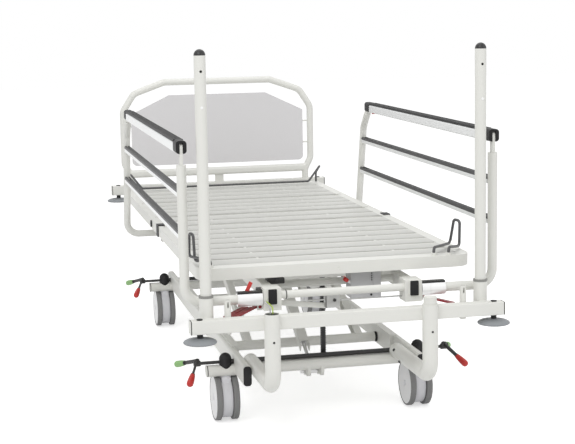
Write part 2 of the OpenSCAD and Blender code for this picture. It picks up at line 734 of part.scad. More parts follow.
// Upper frame, carried by the lift
block_in = 194;        // end block's inner face from the middle
block_out = 248;       // end block's outer face from the middle
block_low = 414;       // end block's underside
block_len = 66;        // end block's length along the bed
cross_tube_r = 12;     // radius of the round cross tubes
pad_r = 12;            // rubber-topped pads under the sections
cheek_t = 6;           // cheeks beside the ram's upper end
cheek_gap = 1;         // side clearance of the ram between its cheeks
cheek_low = 22;        // cheeks reach this far below the ram's upper end
cheek_len = 60;        // length of the cheeks along the bed
ram_member = 24;       // height of the member over the ram
ram_member_d = 30;     // depth of that member
sleeve_in = 250;       // rail block's inner end from the middle
sleeve_out = 326;      // rail block's outer end from the middle
sleeve_r = 22;         // outer radius of a rail block
ram_high_y = ram_low_y + ram_reach;
strip_back = 33;        // toothed strip behind the head cross beam's centre
box_setback = 250;     // control box's cross tube behind the head beam
tube_ahead = 60;       // cross tube ahead of the head arms' pivots
tube_behind = 440;     // cross tube behind the foot arms' pivots
back_pad = [170, 160]; // pads' places from the ends of the back section
leg_pad = [130, 160];  // leg sections' pads behind a hinge, and ahead of the foot end
strip_y = cross_y[0] + strip_back;
box_tube_y = head_y + box_setback;
frame_tube_y = [near_y, strip_y, box_tube_y, arm_y[0] - tube_ahead, far_y, arm_y[1] + tube_behind];
back_pad_y = [deck_y + back_pad[0], back_hinge_y - back_pad[1]];
leg_pad_y = [thigh_hinge_y + leg_pad[0], calf_hinge_y + leg_pad[0], deck_end - leg_pad[1]];
module upper_frame() {
    color(coat) difference() {
        union() {
            pair() difference() {
                along_y(rail_y, rail_end) translate([rail_x, rail_z]) round_rect(rail_w, rail_h, track_wall);
                along_y(rail_y - over, rail_end + over) translate([rail_x, rail_z])
                    square([rail_w - 2 * track_wall, rail_h - 2 * track_wall], center = true);
                // Slots for the arms' rollers
                for (y = arm_y) block([rail_x - rail_w / 2 - over, y + arm_reach - slot_run, rail_bottom
                    + track_wall], [rail_x - rail_w / 2 + track_wall + over, y + arm_reach + slot_run
                    - roller_r, rail_top - track_wall]);
            }
            // End blocks round the side tubes
            pair() difference() {
                block([block_in, rail_y + cap_t, block_low],
                    [block_out, rail_y + block_len, rail_top + over]);
                along_y(rail_y, rail_y + block_len + over) translate([rail_x, rail_z])
                    square([rail_w - over, rail_h - over], center = true);
            }
            for (y = frame_tube_y) rod_x(-rail_x + rail_w / 2 - over, rail_x - rail_w / 2 + over, y,
                rail_z, cross_tube_r);
            // Member and cheeks that hold the ram's upper end
            block([-rail_x + rail_w / 2 - over, ram_high_y - ram_member_d / 2, rail_top - ram_member],
                [rail_x - rail_w / 2 + over, ram_high_y + ram_member_d / 2, rail_top]);
            for (s = [-1, 1]) {
                x = ram_x + s * (cover_w / 2 + cheek_gap + cheek_t / 2);
                block([x - cheek_t / 2, ram_high_y - cheek_len / 2, ram_high_z - cheek_low],
                    [x + cheek_t / 2, ram_high_y + cheek_len / 2, rail_top - over]);
            }
            // Pads under the moving sections
            for (y = concat(back_pad_y, leg_pad_y)) pair() rod_z(rail_x, y, rail_top - over,
                rib_low - rest_gap, pad_r);
            // Ears for the release levers
            pair() for (y = [lever_y - lever_half - cap_t, lever_y + lever_half + rest_gap])
                block([block_out - over, y, lever_z - 2 * lever_t], [lever_x + 2 * lever_t - over,
                    y + cap_t - rest_gap, lever_z + 2 * lever_t - over]);
        }
        for (y = frame_tube_y) rod_x(-rail_x, rail_x, y, rail_z, cross_tube_r - tube_wall);
        pair() rod_y(lever_x, lever_y - rail_h, lever_y + rail_h, lever_z, lever_t + run_gap);
    }
}
module upper_plugs() {
    color(black) pair() {
        along_y(rail_y - cap_t, rail_y) translate([rail_x, rail_z])
            round_rect(rail_w - 2 * plug_inset, rail_h, track_wall);
        along_y(rail_y, rail_y + plug_depth) translate([rail_x, rail_z])
            square([rail_w - 2 * track_wall - 2 * rest_gap, rail_h - 2 * track_wall - 2 * rest_gap],
                center = true);
    }
}
// Rail blocks: sleeves that carry the side rails' fold axes
insert_t = 5;          // height of the black insert on a rail block
insert_w = 22;         // depth of that insert
split_gap = 1.5;       // groove between a block's two rings
split_x = 275;         // place of that groove
module rail_block(y, r, seat) {
    difference() {
        union() {
            color(alu) difference() {
                rod_x(sleeve_in, sleeve_out, y, guard_z, sleeve_r);
                block([sleeve_in - over, y - insert_w / 2, guard_z + sleeve_r - insert_t],
                    [sleeve_out + over, y + insert_w / 2, guard_z + sleeve_r + over]);
                difference() {
                    rod_x(split_x, split_x + split_gap, y, guard_z, sleeve_r + over);
                    rod_x(split_x - over, split_x + split_gap + over, y, guard_z, sleeve_r - split_gap);
                }
            }
            color(coat) block([seat, y - sleeve_r / 2, rail_bottom + track_wall],
                [sleeve_in + over, y + sleeve_r / 2, rail_top - track_wall]);
        }
        rod_x(seat - over, sleeve_out + over, y, guard_z, r + run_gap);
    }
    color(black) block([sleeve_in, y - insert_w / 2 + rest_gap, guard_z + sleeve_r - insert_t],
        [sleeve_out, y + insert_w / 2 - rest_gap, guard_z + sleeve_r + over]);
}
module rail_blocks() {
    pair() {
        rail_block(near_y, guard_r, block_out);
        rail_block(far_y, crank_stub_r, rail_x + rail_w / 2);
    }
}

// Foot beam on risers at the upper frame's end
riser_w = 28;          // width of a riser
leg_socket_r = 18.5;   // outer radius of a board socket
leg_socket_len = 16;   // board socket's length below the foot beam
module foot_beam() {
    color(coat) difference() {
        union() {
            beam_shell(foot_y, foot_beam_z);
            pair() block([rail_x - riser_w / 2, rail_end, rail_bottom], [rail_x + riser_w / 2,
                foot_y + beam_size / 2 - tube_wall, foot_beam_z - beam_size / 2 + over]);
            pair() rod_z(leg_x, foot_y, foot_beam_z - beam_size / 2 - leg_socket_len, foot_beam_top,
                leg_socket_r);
        }
        pair() rod_z(leg_x, foot_y, foot_beam_z - beam_size / 2 - leg_socket_len + socket_floor,
            foot_beam_top + over, board_r + collar_gap);
    }
}
module foot_beam_fittings() {
    color(black) {
        pair() {
            along_x(beam_len / 2, beam_len / 2 + cap_t) translate([foot_y, foot_beam_z])
                round_rect(beam_size, beam_size, tube_wall);
            along_x(beam_len / 2 - plug_depth, beam_len / 2) translate([foot_y, foot_beam_z])
                square(beam_size - 2 * tube_wall - 2 * rest_gap, center = true);
        }
        pair() bumper_hub(foot_y, foot_beam_z - beam_size / 2);
        pair() beam_plug(foot_y, foot_beam_z + beam_size / 2);
    }
}

// Control box, strip, levers and lead under the head end
box_size = [98, 60, 86];   // control box
box_x = 51;                // control box's left face
box_drop = 5;              // its top under the lying surface's frame
hanger_t = 4;              // plate that hangs the box on its cross tube
strip_w = 16;              // toothed strip's width
strip_t = 5;               // its thickness
strip_x = 2;               // its left edge
strip_low = 170;           // its lower end
tooth = 8;                 // pitch of its teeth
lever_w = 25;              // width of a release lever
lever_t = 5;               // thickness of a release lever
lever_len = 118;           // length of a release lever
lever_back = 28;           // its hinge behind the near fold axis
lever_half = 10;           // half the length of its hinge
lever_neck = 20;           // neck between the hinge and the flat bar
lever_z = 420;             // height of its hinge
lever_tilt = 9;            // its slope outward
lever_turn = -44;          // its turn toward the head end
lead_r = 2.5;              // each wire of the earth lead
lead_low = 290;            // lower end of the earth lead
lead_gap = 8;              // spacing of its two wires
lever_x = block_out + lever_t + rest_gap;
lever_y = near_y + lever_back;
module control_box() {
    color(panel_grey) {
        top = deck_bottom - box_drop;
        difference() {
            block([box_x, box_tube_y - cross_tube_r - box_size[1], top - box_size[2]],
                [box_x + box_size[0], box_tube_y - cross_tube_r - rest_gap, top]);
            for (i = [0 : 3]) rod_y(box_x + box_size[0] * (i + 1) / 5, box_tube_y - cross_tube_r
                - box_size[1] - over, box_tube_y - cross_tube_r - box_size[1] + hanger_t,
                top - box_size[2] / 2, dot_r);
        }
        // Hanger over the cross tube
        difference() {
            block([box_x + hanger_t, box_tube_y - cross_tube_r - hanger_t, top - hanger_t],
                [box_x + box_size[0] - hanger_t, box_tube_y + cross_tube_r + hanger_t, top]);
            rod_x(box_x - over, box_x + box_size[0] + over, box_tube_y, rail_z, cross_tube_r + rest_gap);
        }
        difference() {
            block([box_x + hanger_t, box_tube_y + cross_tube_r + rest_gap, rail_z - cross_tube_r],
                [box_x + box_size[0] - hanger_t, box_tube_y + cross_tube_r + hanger_t, top]);
            rod_x(box_x - over, box_x + box_size[0] + over, box_tube_y, rail_z, cross_tube_r + rest_gap);
        }
    }
}
module toothed_strip() {
    color(black) {
        block([strip_x, strip_y - strip_t / 2, strip_low],
            [strip_x + strip_w, strip_y + strip_t / 2, rail_z - cross_tube_r - rest_gap]);
        count = floor((rail_z - cross_tube_r - strip_low) / tooth) - 1;
        for (i = [0 : count]) block([strip_x - strip_t / 4, strip_y - strip_t, strip_low + i * tooth],
            [strip_x + strip_w + strip_t / 4, strip_y - strip_t / 4, strip_low + (i + 0.5) * tooth]);
    }
}
module release_lever(bars) {
    reach = lever_len - lever_neck;
    color(dark_red) {
        translate([lever_x, lever_y, lever_z]) rotate([0, lever_tilt, 0]) {
            block([0, -lever_half + over, -lever_t / 2], [lever_neck, lever_half - over, lever_t / 2]);
            translate([lever_neck - over, 0, -lever_t / 2]) rotate([0, 0, lever_turn])
                for (i = [0 : bars - 1]) translate([0, -lever_w / 2, 0]) {
                    translate([0, i * (lever_w + lever_t), 0]) cube([reach, lever_w, lever_t]);
                    translate([i * (reach - lever_w), 0, 0])
                        cube([lever_w, lever_w + i * (lever_w + lever_t), lever_t]);
                }
        }
        rod_y(lever_x, lever_y - lever_half - cap_t, lever_y + lever_half + cap_t, lever_z, lever_t);
    }
}
module release_lever_left() { mirror([1, 0, 0]) release_lever(2); }
module release_lever_right() { release_lever(1); }
module earth_lead() {
    for (i = [0, 1]) {
        x = -j_x + i * lead_gap - lead_gap / 2 + 2 * rest_gap;
        color(i == 0 ? wire_grey : green) {
            rod_z(x, j_y + lead_gap, lead_low, rail_bottom + lead_gap, lead_r);
            translate([x, j_y + lead_gap, rail_bottom + lead_gap]) sphere(r = lead_r);
            rod_y(x, j_y + lead_gap, rail_y + cap_t - rest_gap, rail_bottom + lead_gap, lead_r);
        }
    }
}

// Lying surface: four sections of tube and slats
slat_gap_share = 0.2;      // gap between slats, as a share of their pitch
rib_w = 8;                 // longitudinal ribs under the slats
rib_h = 16;                // their height
plan_r = 60;               // rounded corners of the two ends in plan
knuckle_gap = 0.4;         // side gap between two hinge knuckles
end_gap = 1;               // gap between a knuckle and the opposite tube
edge_gap = 14;             // section's last slat to the hinge line
seat_bar = 24;             // cross bars that carry the seat section
deck_in = deck_w / 2 - deck_side;
rib_low = deck_top - slat_t - rib_h;
knuckle_r = deck_h / 2;
knuckle_mid = deck_w / 2 - deck_side / 2;

// One side tube from y0 to y1, with a knuckle toward each hinge.
// The inner half belongs to the section at the head end of a hinge, the outer half to the other.
module side_tube(y0, y1, hinge0, hinge1) {
    a = hinge0 ? y0 + knuckle_r + end_gap : y0;
    b = hinge1 ? y1 - knuckle_r - end_gap : y1;
    difference() {
        block([deck_in, a, deck_bottom], [deck_w / 2, b, deck_top]);
        block([deck_in + tube_wall, a - over, deck_bottom + tube_wall], [deck_w / 2 - tube_wall, b + over,
            deck_top - tube_wall]);
    }
    if (hinge0) {
        block([knuckle_mid + knuckle_gap / 2, y0, deck_bottom], [deck_w / 2, a + over, deck_top]);
        rod_x(knuckle_mid + knuckle_gap / 2, deck_w / 2, y0, hinge_z, knuckle_r);
        rod_x(deck_in, knuckle_mid + over, y0, hinge_z, pin_r);
    }
    if (hinge1) difference() {
        union() {
            block([deck_in, b - over, deck_bottom], [knuckle_mid - knuckle_gap / 2, y1, deck_top]);
            rod_x(deck_in, knuckle_mid - knuckle_gap / 2, y1, hinge_z, knuckle_r);
        }
        rod_x(deck_in - over, knuckle_mid + over, y1, hinge_z, pin_r + run_gap);
    }
}
// A slat is a shallow channel with turned-down edges
lip_w = 3.2;               // turned-down edge of a slat
skin = 1.6;                // thickness of a slat's sheet
slat_r = 3;                // rounding of a slat's edges
module slat(y, w) {
    along_x(-deck_in - over, deck_in + over) difference() {
        translate([y + w / 2, deck_top - slat_t / 2]) round_rect(w, slat_t, slat_r);
        translate([y + lip_w, deck_top - slat_t - over]) square([w - 2 * lip_w, slat_t - skin + over]);
    }
}
module slats(y0, y1) {
    count = max(1, round((y1 - y0) * (1 - slat_gap_share) / slat_w));
    pitch = (y1 - y0) / count;
    for (i = [0 : count - 1])
        slat(y0 + i * pitch + pitch * slat_gap_share / 2, pitch * (1 - slat_gap_share));
}
module ribs(y0, y1) {
    pair() block([rail_x - rib_w / 2, y0, rib_low], [rail_x + rib_w / 2, y1, deck_top - skin]);
}
module plan_shape(y0, y1, inner0, t) {
    half = deck_w / 2 - t;
    r = plan_r - t;
    difference() {
        union() {
            translate([-half, y0 + plan_r]) square([2 * half, y1 - y0 - plan_r]);
            translate([-half + r, y0 + t]) square([2 * (half - r), r + over]);
            for (s = [-1, 1]) translate([s * (half - r), y0 + plan_r]) circle(r = r);
        }
        translate([-deck_in - t, inner0 - t]) square([2 * (deck_in + t), y1 - y0]);
    }
}
module plan_frame(y0, y1, inner0) {
    difference() {
        translate([0, 0, deck_bottom]) linear_extrude(deck_h) plan_shape(y0, y1, inner0, 0);
        translate([0, 0, deck_bottom + tube_wall]) linear_extrude(deck_h - 2 * tube_wall)
            plan_shape(y0, y1 + over, inner0, tube_wall);
    }
}
hole_r = 3;                // small hole in the head end's face
module back_section() {
    stop = deck_y + plan_r + over;
    color(coat) difference() {
        union() {
            plan_frame(deck_y, stop, deck_y + deck_front);
            pair() side_tube(stop, back_hinge_y, false, true);
            slats(deck_y + deck_front, back_hinge_y - edge_gap);
            ribs(deck_y + deck_front - over, back_hinge_y - edge_gap - lip_w);
            // Pegs of the corner retainers' seats
            for (p = head_seats) rod_z(p[0], p[1], deck_top - deck_h / 2, deck_top + peg_h, peg_r);
        }
        rod_y(0, deck_y - over, deck_y + skin, hinge_z, hole_r);
        for (p = head_seats) rod_z(p[0], p[1], deck_top - deck_h / 2, deck_top + peg_h + over,
            wire_r + run_gap);
    }
}
module seat_section() {
    color(coat) {
        pair() side_tube(back_hinge_y, thigh_hinge_y, true, true);
        slats(back_hinge_y + edge_gap, thigh_hinge_y - edge_gap);
        ribs(back_hinge_y + edge_gap + lip_w, thigh_hinge_y - edge_gap - lip_w);
        // Cross bars on the upper side tubes
        for (y = [back_hinge_y + knuckle_r + end_gap + seat_bar, thigh_hinge_y - knuckle_r - end_gap
            - seat_bar]) difference() {
            union() {
                block([-deck_w / 2 + slat_t, y - seat_bar / 2, rail_top],
                    [deck_w / 2 - slat_t, y + seat_bar / 2, deck_bottom]);
                pair() block([rail_x - rib_w / 2, y - seat_bar / 2, deck_bottom - over],
                    [rail_x + rib_w / 2, y + seat_bar / 2, rib_low + over]);
            }
            block([-deck_w / 2, y - seat_bar / 2 + tube_wall, rail_top + tube_wall],
                [deck_w / 2, y + seat_bar / 2 - tube_wall, deck_bottom - tube_wall]);
        }
    }
}
module thigh_section() {
    color(coat) {
        pair() side_tube(thigh_hinge_y, calf_hinge_y, true, true);
        slats(thigh_hinge_y + edge_gap, calf_hinge_y - edge_gap);
        ribs(thigh_hinge_y + edge_gap + lip_w, calf_hinge_y - edge_gap - lip_w);
    }
}
module calf_section() {
    color(coat) difference() {
        union() {
            pair() side_tube(calf_hinge_y, deck_end - deck_side, true, false);
            difference() {
                block([-deck_w / 2, deck_end - deck_side - over, deck_bottom],
                    [deck_w / 2, deck_end, deck_top]);
                block([-deck_in, deck_end - deck_side + tube_wall, deck_bottom + tube_wall],
                    [deck_in, deck_end + over, deck_top - tube_wall]);
            }
            slats(calf_hinge_y + edge_gap, deck_end - deck_side);
            ribs(calf_hinge_y + edge_gap + lip_w, deck_end - deck_side + over);
        }
        pair() rod_z(foot_peak[0], foot_seat_y, deck_top - slat_t - over, deck_top + over,
            wire_r + run_gap);
    }
}
// Covers over the back hinge, and rings at the thigh hinge
cover_wrap = 3;            // thickness of a hinge cover
cover_len = 46;            // length of a hinge cover
ring_r = 13;               // ring beside a hinge
ring_t = 4;                // thickness of that ring
module deck_hinge_covers() {
    color(black) pair() {
        block([deck_w / 2 + rest_gap, back_hinge_y + knuckle_r, deck_bottom - cover_wrap],
            [deck_w / 2 + rest_gap + cover_wrap, back_hinge_y + knuckle_r + cover_len,
                deck_top + cover_wrap]);
        block([deck_in + slat_t, back_hinge_y + knuckle_r, deck_top + rest_gap],
            [deck_w / 2 + rest_gap + cover_wrap, back_hinge_y + knuckle_r + cover_len, deck_top
            + rest_gap + cover_wrap]);
        difference() {
            rod_x(deck_w / 2 + rest_gap, deck_w / 2 + rest_gap + ring_t, thigh_hinge_y - ring_r * 2,
                hinge_z, ring_r);
            rod_x(deck_w / 2, deck_w / 2 + ring_t + over, thigh_hinge_y - ring_r * 2, hinge_z, pin_r);
        }
    }
}

// Mattress retainers of bent wire
peg_h = 8;                 // height of a wire's seat above the frame
peg_r = 8;                 // radius of that seat
wire_bend = 12;            // bend radius of the wires
right_in = [313, 20];      // right wire's seats on the cross tube: x, behind the deck's edge
right_back = [359, 12];
right_foot = [418, 172];   // foot of its inner leg
right_top = [420, 138, 91];  // hairpin's inner and outer corner: x, behind the edge, above the deck
right_out = [430, 110, 91];
right_side = [429, 112, 9];  // foot of its outer leg
left_in = [393, 25];       // the same for the left wire, which stands in the deck's corner
left_back = [408, 36];
left_foot = [429, 102];
left_top = [432, 102, 92];
left_out = [440, 130, 92];
left_side = [442, 130, 20];
foot_half = 370;           // half the straight run of the foot wire
foot_peak = [424, 82];     // peak of the foot wire: x, above the deck
foot_in = 100;             // foot wire ahead of the deck's end
foot_lift = 12;            // foot wire's height above the deck
foot_seat_y = deck_end - deck_side / 2;
function corner_at(s, p, z) = [s * p[0], deck_y + p[1], z];
head_seats = [corner_at(1, right_in, 0), corner_at(1, right_back, 0), corner_at(-1, left_in, 0),
    corner_at(-1, left_back, 0)];
// Hairpin of wire, from one seat by its inner foot over the top to the other seat
module hairpin(s, first, foot, top, out, side, last) {
    base = deck_top + peg_h + wire_bend + wire_r;
    pipe([corner_at(s, first, deck_top - slat_t), corner_at(s, first, base),
        corner_at(s, foot, deck_top + 2 * wire_r), corner_at(s, top, deck_top + top[2]),
        corner_at(s, out, deck_top + out[2]), corner_at(s, side, deck_top + side[2]),
        corner_at(s, last, base), corner_at(s, last, deck_top - slat_t)], wire_r, wire_bend);
}
module retainers_head() {
    color(wire_grey) {
        hairpin(1, right_in, right_foot, right_top, right_out, right_side, right_back);
        hairpin(-1, left_in, left_foot, left_top, left_out, left_side, left_back);
    }
}
module retainer_foot() {
    y = deck_end - foot_in;
    z = deck_top + foot_lift;
    color(wire_grey) {
        pair() pipe([[0, y, z], [foot_half, y, z], [foot_peak[0], y, deck_top + foot_peak[1]],
            [foot_peak[0], foot_seat_y, deck_top + foot_peak[1] / 2], [foot_peak[0], foot_seat_y,
            deck_top - slat_t]], wire_r, wire_bend);
    }
}

// Foot board: bent tube frame and panel
board_bend = 50;           // bend radius of the board's tube
shoulder_x = 238;          // half the straight top
shoulder_out = 374;        // where the sloping shoulders turn down
shoulder_drop = 48;        // drop of the sloping shoulders
shoulder_low = 124;        // drop to the straight sides
low_rail_z = 596;          // height of the board's lower rail
low_rail_r = 17;           // half height of that rail
side_low = 640;            // where the sides start to run in toward the legs
leg_in_z = 590;            // where the legs are straight again
clip_w = 38;               // centre bracket under the lower rail
clip_t = 8;                // its thickness
screw_z = [808, 712];      // heights of the panel's screws
panel_low = 631;           // panel's lower edge
panel_top = 941;           // panel's upper edge
panel_half = 388;          // half the panel's width
panel_top_half = 218;      // half the width of its upper edge
panel_side = 860;          // height where its sloping corners start
panel_r = 22;              // radius of its lower corners
module board_frame() {
    top = board_top - board_r;
    leg_end = foot_beam_z - beam_size / 2 - leg_socket_len + socket_floor + rest_gap;
    half = [[0, top], [shoulder_x, top], [shoulder_out, top - shoulder_drop],
        [board_half, top - shoulder_low], [board_half, side_low], [leg_x, leg_in_z], [leg_x, leg_end]];
    color(coat) {
        pair() difference() {
            pipe([for (p = half) [p[0], foot_y, p[1]]], board_r, board_bend);
            pipe([for (p = half) [p[0], foot_y, p[1]]], board_r - tube_wall, board_bend);
        }
        along_x(-leg_x, leg_x) translate([foot_y, low_rail_z]) round_rect(2 * board_r, 2 * low_rail_r,
            board_r - tube_wall);
        block([-clip_w / 2, foot_y - clip_t / 2, foot_beam_top + rest_gap],
            [clip_w / 2, foot_y + clip_t / 2, low_rail_z]);
        // Studs that hold the panel
        for (z = screw_z) pair() rod_x(panel_half - screw_r, board_half, foot_y, z, screw_r);
    }
}
module board_panel() {
    color(panel_grey) translate([0, foot_y - panel_t / 2, 0]) difference() {
        translate([0, panel_t, 0]) rotate([90, 0, 0]) linear_extrude(panel_t) difference() {
            union() {
                polygon([[-panel_half, panel_low + panel_r], [panel_half, panel_low + panel_r],
                    [panel_half, panel_side], [panel_top_half, panel_top], [-panel_top_half, panel_top],
                    [-panel_half, panel_side]]);
                translate([-panel_half + panel_r, panel_low]) square([2 * (panel_half - panel_r), panel_r
                    + over]);
                for (s = [-1, 1]) translate([s * (panel_half - panel_r), panel_low + panel_r])
                    circle(r = panel_r);
            }
        }
        for (z = screw_z) pair() rod_x(panel_half - screw_r - rest_gap, panel_half + over, panel_t / 2, z,
            screw_r + rest_gap);
    }
}

// Folding side rails
guard_bend = 50;           // bend radius of the uprights
tongue_t = 9;              // thickness of a flattened tongue
tongue_r = 11;             // round end of a tongue
tongue_start = 53;         // tongue's start below the top pivot
cap_len = 62;              // length of an end cap on the top bar
cap_out = 14;              // how far a cap reaches beyond its pivot
cap_roof = 7;              // a cap's thickness over the tongue
fork_w = 11;               // slot for a tongue
top_pin_r = 4;             // pins of the side rails
near_slot = 14;            // slot beyond the near pivot toward the bar
far_slot = 31;             // slot beyond the far pivot toward the bar
lug_thick = 5;             // lugs that carry the middle and low bars
lug_slot = 7;              // slots for those lugs
lug_end = 8;               // round end of a lug
lug_len = 30;              // middle and low bars' pivots behind the fold axes
bar_end_gap = 9;           // bars reach this far beyond their near pivots
far_tail = [52, 82];       // middle and low bars beyond their far pivots
crank_t = 6;               // crank plate of the far upright
crank_stub_r = 10;         // its stub in the rail block
crank_r = 16;              // rounded ends of the crank
crank_x = 330;             // crank plate's inner face from the middle
far_foot = [190, -30];     // far upright's foot from the far fold axis
far_lean = 377;            // height of the far upright's knee above its fold axis
neck_share = 0.5;          // where the tube ends, as a share of the tongue's length
grip_groove = 2;           // grooves along the black strips
strip_h = 4;               // height of a black strip on a bar
strip_side = 16;           // width of that strip
button_r = 7;              // release button
button_drop = 5;           // how far the button stands out under its bar
button_back = 62;          // button's place ahead of the far pivot
bar_drop = 19;             // underside of the top bar below its pivots
strip_pitch = 4.6;         // spacing of the grooves along a black strip
bar_z = guard_z + guard_rise - bar_drop;
bar_rises = [mid_rise, low_rise];
// Place of the leaning tube's centre at a height above the fold axis
function far_tube_y(rise) = far_y + far_foot[0] + (guard_rise - far_lean - far_foot[0])
    * (rise - far_foot[1]) / (far_lean - far_foot[1]);
far_pivot_y = far_y + lug_len;
near_pivot_y = near_y + lug_len;
module lug(y0, y1, z) {
    x0 = guard_x - lug_thick / 2;
    difference() {
        union() {
            block([x0, min(y0, y1), z - lug_end], [x0 + lug_thick, max(y0, y1), z + lug_end]);
            rod_x(x0, x0 + lug_thick, y1, z, lug_end);
        }
        rod_x(x0 - over, x0 + lug_thick + over, y1, z, top_pin_r + run_gap);
    }
}
module near_upright() {
    top = guard_z + guard_rise;
    color(coat) {
        pipe([[sleeve_in, near_y, guard_z], [guard_x, near_y, guard_z], [guard_x, near_y,
            top - tongue_start]], guard_r, guard_bend);
        difference() {
            union() {
                block([guard_x - tongue_t / 2, near_y - tongue_r, top - tongue_start - guard_r],
                    [guard_x + tongue_t / 2, near_y + tongue_r, top]);
                rod_x(guard_x - tongue_t / 2, guard_x + tongue_t / 2, near_y, top, tongue_r);
            }
            rod_x(guard_x - tongue_t, guard_x + tongue_t, near_y, top, top_pin_r + run_gap);
        }
        for (rise = bar_rises) lug(near_y, near_pivot_y, guard_z + rise);
    }
}
module far_upright() {
    top = guard_z + guard_rise;
    foot = [guard_x, far_y + far_foot[0], guard_z + far_foot[1]];
    neck = neck_share * tongue_start;
    knee = [guard_x, far_y + guard_rise - far_lean, guard_z + far_lean];
    color(coat) {
        // Crank from the fold axis to the upright's foot
        rod_x(crank_x, crank_x + crank_t, far_y, guard_z, crank_r);
        rod_x(crank_x, crank_x + crank_t, foot[1], foot[2], crank_r);
        translate([crank_x, far_y, guard_z]) rotate([atan2(far_foot[1], far_foot[0]), 0, 0])
            translate([0, 0, over - crank_r]) cube([crank_t, norm(far_foot), 2 * (crank_r - over)]);
        rod_x(rail_x + rail_w / 2 + over, crank_x + over, far_y, guard_z, crank_stub_r);
        pipe([[crank_x + over, foot[1], foot[2]], foot, knee, [guard_x, far_y + neck, top - neck]],
            guard_far_r, guard_bend);
        along_x(guard_x - tongue_t / 2, guard_x + tongue_t / 2) translate([far_y, top]) difference() {
            union() {
                circle(r = tongue_r);
                rotate(-45) translate([0, over - tongue_r]) square([tongue_start, 2 * (tongue_r - over)]);
            }
            circle(r = top_pin_r + run_gap);
        }
        for (rise = bar_rises) lug(far_tube_y(rise), far_pivot_y, guard_z + rise);
    }
}
module top_bar() {
    color(alu) difference() {
        along_y(near_y + cap_len - cap_out, far_y - cap_len + cap_out) translate([guard_x, bar_z
            + top_bar_h / 2]) round_rect(top_bar_w, top_bar_h, top_bar_w / 6);
        along_y(near_y, far_y) translate([guard_x, bar_z + top_bar_h / 2])
            square([top_bar_w - 4 * tube_wall, top_bar_h - 2 * tube_wall], center = true);
        rod_z(guard_x, far_y - button_back, bar_z - over, bar_z + top_bar_h / 2, button_r + run_gap);
    }
}
module top_cap(y0, y1, slot0, slot1, pin_y) {
    color(black) {
        difference() {
            along_y(y0, y1) translate([guard_x, bar_z + (top_bar_h + grip_t) / 2])
                round_rect(top_bar_w + 2 * plug_inset, top_bar_h + grip_t, top_bar_w / 3);
            block([guard_x - fork_w / 2, slot0, bar_z - over],
                [guard_x + fork_w / 2, slot1, bar_z + top_bar_h + grip_t - cap_roof]);
        }
        rod_x(guard_x - top_bar_w / 2, guard_x + top_bar_w / 2, pin_y, guard_z + guard_rise, top_pin_r);
    }
}
module top_grip() {
    y0 = near_y + cap_len - cap_out;
    y1 = far_y - cap_len + cap_out;
    top_cap(near_y - cap_out, y0, near_y - cap_out - over, near_y + near_slot, near_y);
    top_cap(y1, far_y + cap_out, far_y - far_slot, far_y + cap_out + over, far_y);
    color(black) difference() {
        along_y(y0, y1) translate([guard_x, bar_z + top_bar_h + grip_t / 2])
            round_rect(top_bar_w, grip_t, grip_t / 3);
        for (i = [-2 : 2]) along_y(y0 - over, y1 + over) translate([guard_x + i * top_bar_w / 6,
            bar_z + top_bar_h + grip_t]) square(grip_groove, center = true);
    }
}
module rail_bar(rise, tail) {
    z = guard_z + rise;
    y0 = near_pivot_y - bar_end_gap;
    y1 = far_pivot_y + tail;
    difference() {
        union() {
            color(alu) difference() {
                along_y(y0, y1) translate([guard_x, z]) round_rect(bar_size, bar_size, tube_wall);
                along_y(y0 - over, y1 + over) translate([guard_x, z])
                    square(bar_size - 2 * tube_wall, center = true);
            }
            color(black) difference() {
                along_y(y0, y1) translate([guard_x, z + bar_size / 2]) square([strip_side, strip_h],
                    center = true);
                for (i = [-1 : 1]) along_y(y0 - over, y1 + over) translate([guard_x + i * strip_pitch,
                    z + bar_size / 2 + strip_h / 2]) square(grip_groove, center = true);
            }
        }
        // Slots for the lugs, open at the bar's ends
        block([guard_x - lug_slot / 2, y0 - over, z - bar_size], [guard_x + lug_slot / 2,
            near_pivot_y + 2 * bar_end_gap, z + bar_size]);
        block([guard_x - lug_slot / 2, far_pivot_y - 2 * bar_end_gap, z - bar_size],
            [guard_x + lug_slot / 2, y1 + over, z + bar_size]);
    }
    for (y = [near_pivot_y, far_pivot_y]) color(alu)
        rod_x(guard_x - bar_size / 2, guard_x + bar_size / 2, y, z, top_pin_r);
}
module rail_button() {
    z0 = bar_z - button_drop;
    color(red) {
        rod_z(guard_x, far_y - button_back, z0, bar_z + tube_wall + rest_gap, button_r);
        rod_z(guard_x, far_y - button_back, bar_z + tube_wall + rest_gap,
            bar_z + tube_wall + rest_gap + cap_t, button_r + tube_wall);
    }
}
module near_upright_right() { near_upright(); }
module near_upright_left() { mirror([1, 0, 0]) near_upright(); }
module far_upright_right() { far_upright(); }
module far_upright_left() { mirror([1, 0, 0]) far_upright(); }
module top_bar_right() { top_bar(); }
module top_bar_left() { mirror([1, 0, 0]) top_bar(); }
module top_grip_right() { top_grip(); }
module top_grip_left() { mirror([1, 0, 0]) top_grip(); }
module mid_bar_right() { rail_bar(mid_rise, far_tail[0]); }
module mid_bar_left() { mirror([1, 0, 0]) mid_bar_right(); }
module low_bar_right() { rail_bar(low_rise, far_tail[1]); }
module low_bar_left() { mirror([1, 0, 0]) low_bar_right(); }
module rail_button_right() { rail_button(); }
module rail_button_left() { mirror([1, 0, 0]) rail_button(); }

